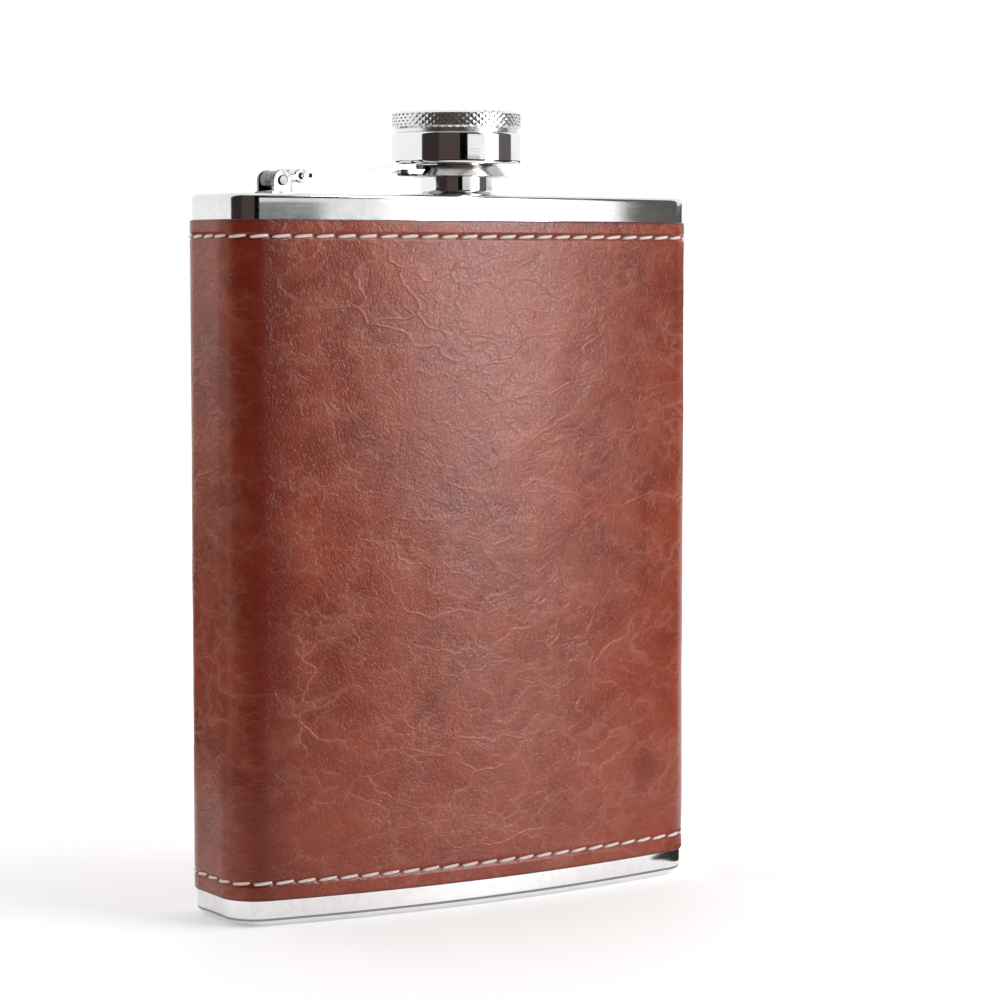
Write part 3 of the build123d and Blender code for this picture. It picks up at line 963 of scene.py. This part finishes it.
def add_thread(mesh: bmesh.types.BMesh, centre: Vector, wall: float, crest: float, start: float) -> None:
    """Adds the ridge of a screw thread, with ends that run out.

    Args:
        mesh: the mesh to add to.
        centre: a point on the axis; heights count from it.
        wall: radius of the wall that it stands on.
        crest: radius of its crest.
        start: height of its lower end.
    """
    pitch, turns, foot, top, run_out = 1.25 * MM, 2.4, 0.62 * MM, 0.24 * MM, 0.12
    steps = 180
    profile = [(-0.3, -foot / 2), (1.0, -top / 2), (1.0, top / 2), (-0.3, foot / 2)]
    made = bmesh.ops.create_grid(mesh, x_segments=steps, y_segments=3, size=1.0)["verts"]
    for vert in made:
        turn = turns * (vert.co.x + 1) / 2
        depth, rise = profile[round((vert.co.y + 1) / 2 * 3)]
        fade = min(1.0, turn / run_out, (turns - turn) / run_out)
        radius = wall + (crest - wall) * min(depth, 1.3 * fade - 0.3)
        angle = turn * TURN
        spoke = Vector((math.cos(angle), math.sin(angle), 0.0))
        vert.co = centre + spoke * radius + Vector((0, 0, start + turn * pitch + rise))


# ---------------------------------------------------------------- the flask's sub-assemblies


@dataclass
class StitchRow:
    """Where one row of stitches runs, and how they are spaced."""

    height: float
    count: int = 57
    length: float = 3.3 * MM
    slant: float = math.radians(5.5)


@dataclass
class LeatherWrap:
    """The leather, with two stitched channels and a butt seam up the back."""

    workshop: Workshop
    plan: BodyPlan
    rows: list[StitchRow]
    seam: float = 0.4 * MM
    thickness: float = 1.0 * MM
    edge: float = 0.35 * MM
    channel: float = 0.17 * MM
    bottom: float = field(init=False)
    top: float = field(init=False)

    def build(self) -> None:
        low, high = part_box("leather_wrap")
        self.bottom, self.top = low.z, high.z
        inner = -self.thickness
        rows = [(inner, self.bottom)]
        rows += rounded_rows((-self.edge, self.bottom + self.edge), self.edge, -90, 90)
        rows += [(0.0, height) for height in self.face_heights()]
        rows += rounded_rows((-self.edge, self.top - self.edge), self.edge, 0, 90)
        rows += [(inner, self.top), (inner, self.bottom)]
        columns = 8 * self.rows[0].count
        mesh = self.plan.strip(columns, rows, self.seam)
        along = mesh.verts.layers.float["along"]
        for vert in mesh.verts:
            if self.bottom + self.edge < vert.co.z < self.top - self.edge:
                self.shape(vert, vert[along])
        bmesh.ops.remove_doubles(mesh, verts=mesh.verts, dist=TOUCH)
        bmesh.ops.holes_fill(mesh, edges=[edge for edge in mesh.edges if edge.is_boundary], sides=0)
        bmesh.ops.recalc_face_normals(mesh, faces=mesh.faces)
        uv = mesh.loops.layers.uv.new("sheet")
        for face in mesh.faces:
            for loop in face.loops:
                vert = loop.vert
                loop[uv].uv = (vert[along] / MM, (vert.co.z - self.bottom) / MM)
        piece = self.workshop.piece("leather", mesh, Finish.LEATHER, "flask", "leather_wrap")

    def face_heights(self) -> list[float]:
        """Heights of the mesh's rows, close together at the channels.

        Returns:
            Heights between the rounded edges, from low to high.
        """
        low, high = self.bottom + self.edge, self.top - self.edge
        heights = {low + (high - low) * step / 72 for step in range(1, 72)}
        near = 1.0 * MM
        for row in self.rows:
            heights = {height for height in heights if abs(height - row.height) > near}
            heights |= {row.height + near * step / 9 for step in range(-9, 10)}
        return sorted(heights)

    def shape(self, vert: bmesh.types.BMVert, along: float) -> None:
        """Moves a vertex of the outer face to follow the channels, needle holes and soft bulges.

        Args:
            vert: the vertex.
            along: its distance along the outline.
        """
        face, normal = self.plan.at(along)
        if (vert.co.xy - face).length > self.edge:
            return
        height = vert.co.z
        move = 0.0
        from_rows = min(abs(height - row.height) for row in self.rows)
        soft = min(1.0, max(0.0, (from_rows - 1.0 * MM) / (4 * MM)))
        at = Vector((along, height, 0.0)) / MM
        move += soft * (0.10 * noise.noise(at / 24) + 0.05 * noise.noise(at / 7)) * MM
        for row in self.rows:
            away = abs(height - row.height)
            if away < 1.0 * MM:
                move -= self.channel * self.fade(away, 0.25 * MM, 0.75 * MM)
                pitch = self.plan.length / row.count
                to_hole = abs(along / pitch - round(along / pitch)) * pitch
                reach = math.hypot(to_hole, away)
                move -= 0.3 * MM * self.fade(reach, 0.1 * MM, 0.55 * MM)
        outward = Vector((normal.x, normal.y, 0.0))
        vert.co += outward * move

    @staticmethod
    def fade(value: float, full: float, none: float) -> float:
        """One up to full, falling smoothly to zero at none.

        Args:
            value: the distance.
            full: distance where it starts to fall.
            none: distance where it ends.

        Returns:
            A share between 0 and 1.
        """
        share = min(1.0, max(0.0, (none - value) / (none - full)))
        return share * share * (3 - 2 * share)


@dataclass
class Stitching:
    """One row of thick thread, each stitch a plump grain that dives into its needle holes."""

    workshop: Workshop
    plan: BodyPlan
    row: StitchRow
    node: str
    width: float = 0.57 * MM
    height: float = 0.44 * MM
    seat: float = -0.06 * MM

    def build(self) -> None:
        """Makes every stitch of the row as one piece."""
        mesh = bmesh.new()
        uv = mesh.loops.layers.uv.new("thread")
        pitch = self.plan.length / self.row.count
        lie_along = Matrix.Rotation(math.pi / 2, 4, "Y")
        for index in range(self.row.count):
            made = bmesh.ops.create_uvsphere(mesh, u_segments=8, v_segments=9, radius=1.0, matrix=lie_along)
            middle = (index + 0.5) * pitch
            faces = {face for vert in made["verts"] for face in vert.link_faces}
            for face in faces:
                for loop in face.loops:
                    turn = math.atan2(loop.vert.co.z, loop.vert.co.y) / TURN
                    loop[uv].uv = (loop.vert.co.x * self.row.length / 2 / MM + index, turn)
            for vert in made["verts"]:
                self.lay(vert, middle)
        bmesh.ops.recalc_face_normals(mesh, faces=mesh.faces)
        name = self.node.replace("_stitching", "_thread")
        self.workshop.piece(name, mesh, Finish.THREAD, "flask", self.node, all_smooth=True)

    def lay(self, vert: bmesh.types.BMVert, middle: float) -> None:
        """Moves a vertex of a unit ball to its place on a stitch.

        Args:
            vert: the vertex.
            middle: distance of the stitch's middle along the outline.
        """
        share, across, out = vert.co
        girth = math.sqrt(max(0.0, 1 - share * share))
        fuller = girth ** -0.6 if girth > 1e-3 else 1.0
        run = share * self.row.length / 2
        rise = across * fuller * self.width / 2 + run * math.tan(self.row.slant)
        dive = -0.22 * MM * abs(share) ** 5
        outwards = self.seat + out * fuller * self.height / 2 + dive
        vert.co = self.plan.place(middle + run, outwards, self.row.height + rise)


@dataclass
class MetalCase:
    """The metal of the flask: top plate, base plate and the tube between them."""

    workshop: Workshop
    plan: BodyPlan
    neck: Vector
    inset: float = 0.4 * MM
    wall: float = 0.6 * MM
    sheet: float = 0.8 * MM
    columns: int = 240

    def build(self) -> None:
        """Makes both plates and dresses the tube."""
        self.build_top()
        self.build_base()
        self.workshop.refine("body_tube", Finish.PLATE_STEEL)

    def build_top(self) -> None:
        """Top plate, with a softly rounded edge and a hole for the neck."""
        low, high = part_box("top_plate")
        face, inner, edge, rim = -self.inset, -self.inset - self.wall, 0.8 * MM, -2.6 * MM
        under = high.z - self.sheet
        rows = [(rim, under), (inner, under), (inner, low.z), (face, low.z), (face, high.z - 1.6 * MM)]
        rows += rounded_rows((face - edge, high.z - edge), edge, 0, 90)
        rows += [(face - 1.4 * edge, high.z), (rim, high.z)]
        mesh = self.plan.strip(self.columns, rows)
        hole = 4.42 * MM
        circles = []
        for height in (under, high.z):
            border = [
                edge for edge in mesh.edges if edge.is_boundary and abs(edge.verts[0].co.z - height) < TOUCH
            ]
            place = Matrix.Translation(Vector((self.neck.x, self.neck.y, height)))
            ring = bmesh.ops.create_circle(mesh, segments=96, radius=hole, matrix=place)["verts"]
            circle = list({edge for vert in ring for edge in vert.link_edges})
            bmesh.ops.triangle_fill(mesh, edges=border + circle, use_beauty=True)
            circles += circle
        bmesh.ops.bridge_loops(mesh, edges=circles)
        bmesh.ops.recalc_face_normals(mesh, faces=mesh.faces)
        self.workshop.piece("top-plate", mesh, Finish.PLATE_STEEL, "flask", "top_plate", even=True)

    def build_base(self) -> None:
        """Base plate, dished and rounded to its flat underside."""
        low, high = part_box("base_plate")
        face, inner, edge, floor = -self.inset, -self.inset - self.wall, 1.8 * MM, low.z + self.sheet
        inside = edge - self.wall
        rows = [(inner - 2 * inside, floor)] + rounded_rows((inner - inside, floor + inside), inside, -90, 90)
        rows += [(inner, high.z), (face, high.z)]
        rows += rounded_rows((face - edge, low.z + edge), edge, 0, -90) + [(face - 2 * edge, low.z)]
        mesh = self.plan.strip(self.columns, rows)
        bmesh.ops.holes_fill(mesh, edges=[edge for edge in mesh.edges if edge.is_boundary], sides=0)
        bmesh.ops.recalc_face_normals(mesh, faces=mesh.faces)
        self.workshop.piece("base-plate", mesh, Finish.PLATE_STEEL, "flask", "base_plate", even=True)


@dataclass
class Neck:
    """Threaded neck, soldered through the top plate."""

    workshop: Workshop
    axis: Vector
    bore: float = 3.8 * MM
    root: float = 4.4 * MM
    crest: float = 4.75 * MM
    top: float = 6.0 * MM

    def build(self) -> None:
        """Makes the neck with its thread."""
        flange_top, flange_bottom, flange = -0.82 * MM, -1.72 * MM, 6.2 * MM
        points = [
            (self.bore, flange_bottom), (flange, flange_bottom), (flange, flange_top),
            (self.root, flange_top), (self.root, self.top), (self.bore, self.top),
        ]
        mesh = lathe(points, self.axis, {4: 0.22 * MM, 5: 0.15 * MM})
        add_thread(mesh, self.axis, self.root, self.crest, 1.9 * MM)
        self.workshop.piece("neck", mesh, Finish.SMALL_STEEL, "flask", "neck_spout", even=True)


@dataclass
class Cap:
    """Screw cap: plain cup, knurled top, threaded sleeve with a flared lip, and a washer."""

    workshop: Workshop
    axis: Vector
    radius: float = 11.3 * MM
    floor: float = 5.5 * MM
    cup_top: float = 11.1 * MM
    grip_bottom: float = 11.7 * MM
    grip_top: float = 14.6 * MM
    teeth: int = 54
    knurl_depth: float = 0.12 * MM

    def build(self) -> None:
        """Makes the four pieces."""
        self.build_cup()
        self.build_grip()
        self.build_sleeve()
        self.build_seal()

    def build_cup(self) -> None:
        """Plain lower cup."""
        inside, hole, sheet = 9.6 * MM, 6.27 * MM, 1.0 * MM
        points = [
            (hole, self.floor), (self.radius, self.floor), (self.radius, self.cup_top),
            (inside, self.cup_top), (inside, self.floor + sheet), (hole, self.floor + sheet),
        ]
        mesh = lathe(points, self.axis, {1: 0.7 * MM, 2: 0.6 * MM})
        self.workshop.piece("cap-cup", mesh, Finish.CAP_STEEL, "cap", "cap_body", even=True)

    def build_grip(self) -> None:
        """Knurled top, pressed into the cup."""
        spigot, bore, chamfer = 9.58 * MM, 8.58 * MM, 0.35 * MM
        spigot_end, plate, groove = self.cup_top - 1.0 * MM, 1.2 * MM, 10.75 * MM
        low, high = self.grip_bottom + chamfer, self.grip_top - chamfer
        knurled = 16
        rim, top = self.radius - chamfer, self.grip_top
        points = [
            (0.0, top - plate), (bore, top - plate), (bore, spigot_end), (spigot, spigot_end),
            (spigot, self.cup_top), (groove, self.cup_top), (groove, self.grip_bottom),
            (rim, self.grip_bottom),
        ]
        points += [(self.radius, low + (high - low) * row / knurled) for row in range(knurled + 1)]
        points += [(rim, top), (0.93 * rim, top), (0.90 * rim, top - 0.12 * MM), (0.0, top - 0.05 * MM)]
        mesh = lathe(points, self.axis, steps=8 * self.teeth)
        for vert in mesh.verts:
            spoke = vert.co - self.axis
            height, spoke.z = spoke.z, 0.0
            if low - TOUCH <= height <= high + TOUCH and spoke.length > self.radius - TOUCH:
                angle = math.atan2(spoke.y, spoke.x) / TURN * self.teeth
                rise = 2.0 * (height - low) / (high - low)
                cut = max(self.groove(angle + rise), self.groove(angle - rise))
                vert.co -= spoke.normalized() * self.knurl_depth * cut
        self.workshop.piece("cap-grip", mesh, Finish.GRIP_STEEL, "cap", "cap_top")

    @staticmethod
    def groove(phase: float) -> float:
        """Depth of a V groove that repeats at every whole phase, from 0 to 1."""
        return max(0.0, 1.0 - abs(phase - round(phase)) / 0.34)

    def build_sleeve(self) -> None:
        """Threaded sleeve: its lip holds the ring under the cap."""
        outer, lip, mouth, root, crest = 6.25 * MM, 7.05 * MM, 5.75 * MM, 5.35 * MM, 5.0 * MM
        lip_low, lip_high, flange, ceiling = 0.1 * MM, 0.5 * MM, 9.0 * MM, 7.4 * MM
        flange_low, flange_high, top = 6.52 * MM, 7.32 * MM, 8.5 * MM
        points = [
            (mouth, lip_low), (lip, lip_low), (lip, (lip_low + lip_high) / 2), (outer, lip_high + 0.25 * MM),
            (outer, flange_low), (flange, flange_low), (flange, flange_high), (outer, flange_high),
            (outer, top), (0.0, top), (0.0, ceiling), (root, ceiling), (root, 1.5 * MM), (mouth, 1.1 * MM),
        ]
        mesh = lathe(points, self.axis, {1: 0.08 * MM, 2: 0.08 * MM, 3: 0.3 * MM})
        add_thread(mesh, self.axis, root, crest, 2.12 * MM)
        self.workshop.piece("cap-sleeve", mesh, Finish.CAP_STEEL, "cap", "cap_insert", even=True)

    def build_seal(self) -> None:
        """Washer that closes on the neck's rim."""
        outer, hole, low, high = 4.95 * MM, 1.6 * MM, 6.05 * MM, 7.35 * MM
        soft = 0.15 * MM
        points = [(hole, low), (outer, low), (outer, high), (hole, high)]
        mesh = lathe(points, self.axis, dict.fromkeys(range(4), soft))
        self.workshop.piece("washer", mesh, Finish.SILICONE, "seal", "seal_washer")


@dataclass
class Retainer:
    """What keeps the cap on the flask: ring, sprung strap, rivet and the hinge of two pins."""

    workshop: Workshop
    axis: Vector
    hole: float = 6.45 * MM
    top_radius: float = 7.4 * MM
    rim: float = 8.9 * MM
    rim_height: float = 3.4 * MM
    top: float = 5.4 * MM
    sheet: float = 0.8 * MM

    def build(self) -> None:
        """Makes the ring and dresses the pieces that keep their CAD shape."""
        self.build_ring()
        self.workshop.refine("arm_strap", Finish.PLATE_STEEL, 0.14 * MM)
        self.workshop.refine("strap_rivet", Finish.HINGE_STEEL)
        for node in ("hinge_bracket", "hinge_link"):
            self.workshop.refine(node, Finish.HINGE_STEEL, 0.12 * MM)
        for node in ("bracket_pin", "arm_pin"):
            self.workshop.refine(node, Finish.HINGE_STEEL)

    def build_ring(self) -> None:
        """Conical swivel ring with the tab that carries the strap."""
        knee, under_top = self.top_radius - 0.4 * self.sheet, self.top - self.sheet
        points = [
            (self.hole, under_top), (knee, under_top), (self.rim - self.sheet, self.rim_height),
            (self.rim, self.rim_height), (self.top_radius, self.top), (self.hole, self.top),
        ]
        soft = 0.12 * MM
        mesh = lathe(points, self.axis, {3: soft, 4: 2.5 * soft, 5: soft})
        far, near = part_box("swivel_ring")[0].x, self.axis.x - self.top_radius
        width, thick, under = 4.6 * MM, 0.68 * MM, 4.56 * MM
        middle = Vector(((far + near) / 2, self.axis.y, self.axis.z + under - thick / 2))
        size = Matrix.Diagonal((near - far, width, thick, 1.0))
        tab = bmesh.ops.create_cube(mesh, size=1.0, matrix=Matrix.Translation(middle) @ size)["verts"]
        ends = []
        for edge in {edge for vert in tab for edge in vert.link_edges}:
            first, second = (vert.co for vert in edge.verts)
            if max(abs(first.x - far), abs(second.x - far)) < TOUCH < abs(first.z - second.z):
                ends.append(edge)
        bmesh.ops.bevel(
            mesh, geom=ends, offset=0.3 * width, offset_type="OFFSET", segments=8, profile=0.5,
            affect="EDGES", material=-1,
        )
        self.workshop.piece("swivel-ring", mesh, Finish.SMALL_STEEL, "arm", "swivel_ring", even=True)


# ---------------------------------------------------------------- studio


@dataclass(frozen=True)
class Card:
    """A curved card round the flask, seen in reflections; a flag also keeps the room's light off."""

    name: str
    start: float
    end: float
    low: float
    high: float
    shade: Colour
    strength: float = 1.0
    radius: float = 1.1
    flag: bool = False


@dataclass
class Studio:
    """White studio: an even bright room, one large softbox and dark cards behind the camera."""

    target: Vector
    plan: BodyPlan
    room: float = 1.0

    def build(self) -> None:
        """Makes the room, floor, cards, softbox and camera."""
        self.light_room()
        self.lay_floor()
        cards = [
            Card("dark_left", -95, -62, -0.3, 2.4, (0.035, 0.027, 0.025), flag=True),
            Card("brown_left", -62, -25, -0.3, 2.4, (0.075, 0.055, 0.05), flag=True),
            Card("stripe", -25, -11, -0.3, 2.4, (0.002, 0.002, 0.002), flag=True),
            Card("dark_low", -11, 23, -0.3, 0.10, (0.03, 0.028, 0.027)),
            Card("dark_high", -11, 23, 0.22, 2.4, (0.05, 0.047, 0.045), flag=True),
            Card("box_face", 23, 40, -0.02, 1.5, (1.0, 0.985, 0.99), 12.0),
            Card("box_side", 40, 50, -0.02, 1.5, (1.0, 0.985, 0.98), 1.3),
            Card("grey_right", 50, 84, -0.3, 2.0, (0.12, 0.112, 0.108)),
            Card("dark_edge", 84, 140, -0.3, 0.152, (0.06, 0.058, 0.057)),
            Card("dark_corner", -11, 11.5, 0.10, 0.152, (0.03, 0.028, 0.027)),
            Card("low_side", -175, -110, -0.3, 0.034, (0.03, 0.028, 0.027)),
        ]
        for card in cards:
            self.hang(card)
        # painted reflected shade along the base plate's lower edge
        self.paint_reflected_foot_shade()
        self.lay_mat("mat_left", -95, 23)
        self.lay_mat("mat_right", 42, 90)
        self.lay_mat("mat_side", -175, -110)
        self.lay_mat("mat_end", 70, 150, near=0.0505, far=0.072)
        self.place_softbox()
        self.place_camera()

    def light_room(self) -> None:
        """Even white light from everywhere."""
        world = bpy.data.worlds.new("white_room")
        world.use_nodes = True
        background = world.node_tree.nodes["Background"]
        background.inputs["Color"].default_value = (1.0, 1.0, 1.0, 1.0)
        background.inputs["Strength"].default_value = self.room
        bpy.context.scene.world = world
        bpy.context.scene.view_settings.view_transform = "Standard"

    @staticmethod
    def plain(name: str, colour: Colour, strength: float) -> bpy.types.Material:
        """Makes a glowing plain material.

        Args:
            name: the material's name.
            colour: its colour.
            strength: its brightness.

        Returns:
            The material.
        """
        material = bpy.data.materials.new(name)
        material.use_nodes = True
        material.node_tree.nodes.clear()
        graph = Graph(material.node_tree)
        glow = graph.add("Emission", {"Color": (*colour, 1.0), "Strength": strength})
        graph.tree.links.new(glow.outputs[0], graph.add("OutputMaterial").inputs[0])
        return material

    def lay_floor(self) -> None:
        """Pale floor, matt and faintly uneven."""
        mesh = bmesh.new()
        bmesh.ops.create_grid(mesh, x_segments=2, y_segments=2, size=6.0)
        material, graph, shader = start_material("pale_floor")
        cloud = graph.noise(object_millimetres(graph), 0.01)
        tone = graph.mix(cloud, (0.93, 0.93, 0.93), (0.96, 0.96, 0.96))
        graph.tree.links.new(tone, shader.inputs["Base Color"])
        shader.inputs["Roughness"].default_value = 0.6
        shader.inputs["Specular IOR Level"].default_value = 0.2
        shader.inputs["Emission Color"].default_value = (1.0, 1.0, 1.0, 1.0)
        shader.inputs["Emission Strength"].default_value = 0.26
        self.show("floor", mesh, material)

    @staticmethod
    def show(name: str, mesh: bmesh.types.BMesh, material: bpy.types.Material) -> bpy.types.Object:
        """Adds a piece of the studio, which isn't part of the flask.

        Args:
            name: its name.
            mesh: its shape; it is freed.
            material: its material.

        Returns:
            The object.
        """
        data = bpy.data.meshes.new(name)
        mesh.to_mesh(data)
        mesh.free()
        data.materials.append(material)
        obj = bpy.data.objects.new(name, data)
        bpy.context.scene.collection.objects.link(obj)
        return obj

    def hang(self, card: Card) -> None:
        """Hangs a curved card; it is only seen by glossy rays.

        Args:
            card: its place, height and shade.
        """
        mesh = bmesh.new()
        bmesh.ops.create_grid(mesh, x_segments=24, y_segments=2, size=1.0)
        for vert in mesh.verts:
            angle = math.radians(card.start + (card.end - card.start) * (vert.co.x + 1) / 2)
            height = card.low + (card.high - card.low) * (vert.co.y + 1) / 2
            vert.co = Vector((card.radius * math.sin(angle), -card.radius * math.cos(angle), height))
        obj = self.show(card.name, mesh, self.plain(card.name, card.shade, card.strength))
        self.only_reflected(obj)
        obj.visible_diffuse = card.flag

    def paint_reflected_foot_shade(self) -> None:
        """Painted reflected shade: a dark line on the floor round the foot, only seen in the rounded edge
        above it.
        """
        mesh = self.plan.strip(120, [(-0.2 * MM, 0.4 * MM), (1.3 * MM, 0.4 * MM)])
        self.only_reflected(self.show("reflected_foot_shade", mesh, self.plain("reflected_foot_shade", (0.30, 0.29, 0.285), 1.0)))

    def lay_mat(self, name: str, start: float, end: float, near: float = 0.16, far: float = 1.1) -> None:
        """Lays a dark mat round the flask, beyond a strip of white floor; it is only seen in reflections.

        Args:
            name: its name.
            start: heading of its first side, in degrees from -Y towards +X.
            end: heading of its other side.
            near: distance of its near edge.
            far: distance of its far edge.
        """
        mesh = bmesh.new()
        bmesh.ops.create_grid(mesh, x_segments=24, y_segments=2, size=1.0)
        for vert in mesh.verts:
            angle = math.radians(start + (end - start) * (vert.co.x + 1) / 2)
            radius = near + (far - near) * (vert.co.y + 1) / 2
            vert.co = Vector((radius * math.sin(angle), -radius * math.cos(angle), 0.001))
        self.only_reflected(self.show(name, mesh, self.plain(name, (0.03, 0.028, 0.027), 1.0)))

    @staticmethod
    def only_reflected(obj: bpy.types.Object) -> None:
        """Hides an object from all but glossy rays."""
        obj.visible_camera = obj.visible_diffuse = obj.visible_shadow = False
        obj.visible_transmission = obj.visible_volume_scatter = False

    def place_softbox(self) -> None:
        """Large softbox, front right."""
        data = bpy.data.lights.new("softbox", "AREA")
        data.shape = "RECTANGLE"
        data.size, data.size_y = 0.75, 0.9
        data.energy = 5.0
        obj = bpy.data.objects.new("softbox", data)
        heading, rise, away = math.radians(44), math.radians(32), 1.05
        level = math.cos(rise)
        spoke = Vector((math.sin(heading) * level, -math.cos(heading) * level, math.sin(rise)))
        obj.location = self.target + spoke * away
        obj.rotation_euler = spoke.to_track_quat("Z", "Y").to_euler()
        obj.visible_glossy = False
        bpy.context.scene.collection.objects.link(obj)

    def place_camera(self) -> None:
        """Camera at the flask's left front, slightly above its middle."""
        data = bpy.data.cameras.new("camera")
        data.lens, data.sensor_width = 111.3, 36.0
        obj = bpy.data.objects.new("camera", data)
        obj.location = (-0.2862, -0.4675, 0.1128)
        obj.rotation_euler = Euler((math.radians(90 - 4.4), 0.0, math.radians(-32.38)))
        bpy.context.scene.collection.objects.link(obj)
        bpy.context.scene.camera = obj


def main() -> None:
    """Builds the flask piece by piece, then the studio round it."""
    logging.basicConfig(level=logging.INFO, format="%(name)s %(message)s")
    cap_low, cap_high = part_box("cap_body")
    leather_low, leather_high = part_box("leather_wrap")
    axis = Vector((0.0, (cap_low.y + cap_high.y) / 2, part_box("top_plate")[1].z))
    plan = BodyPlan(width=leather_high.x - leather_low.x, neck_y=axis.y)
    workshop = Workshop((leather_high.z - leather_low.z) / MM, plan.front_corner() / MM)
    upper = StitchRow(leather_high.z - 2.8 * MM)
    lower = StitchRow(leather_low.z + 3.1 * MM)
    MetalCase(workshop, plan, axis).build()
    LeatherWrap(workshop, plan, [upper, lower]).build()
    Stitching(workshop, plan, upper, "upper_stitching").build()
    Stitching(workshop, plan, lower, "lower_stitching").build()
    Neck(workshop, axis).build()
    Cap(workshop, axis).build()
    Retainer(workshop, axis).build()
    Studio(target=Vector((0.0, axis.y, 0.07)), plan=plan).build()


if __name__ == "__main__":
    main()
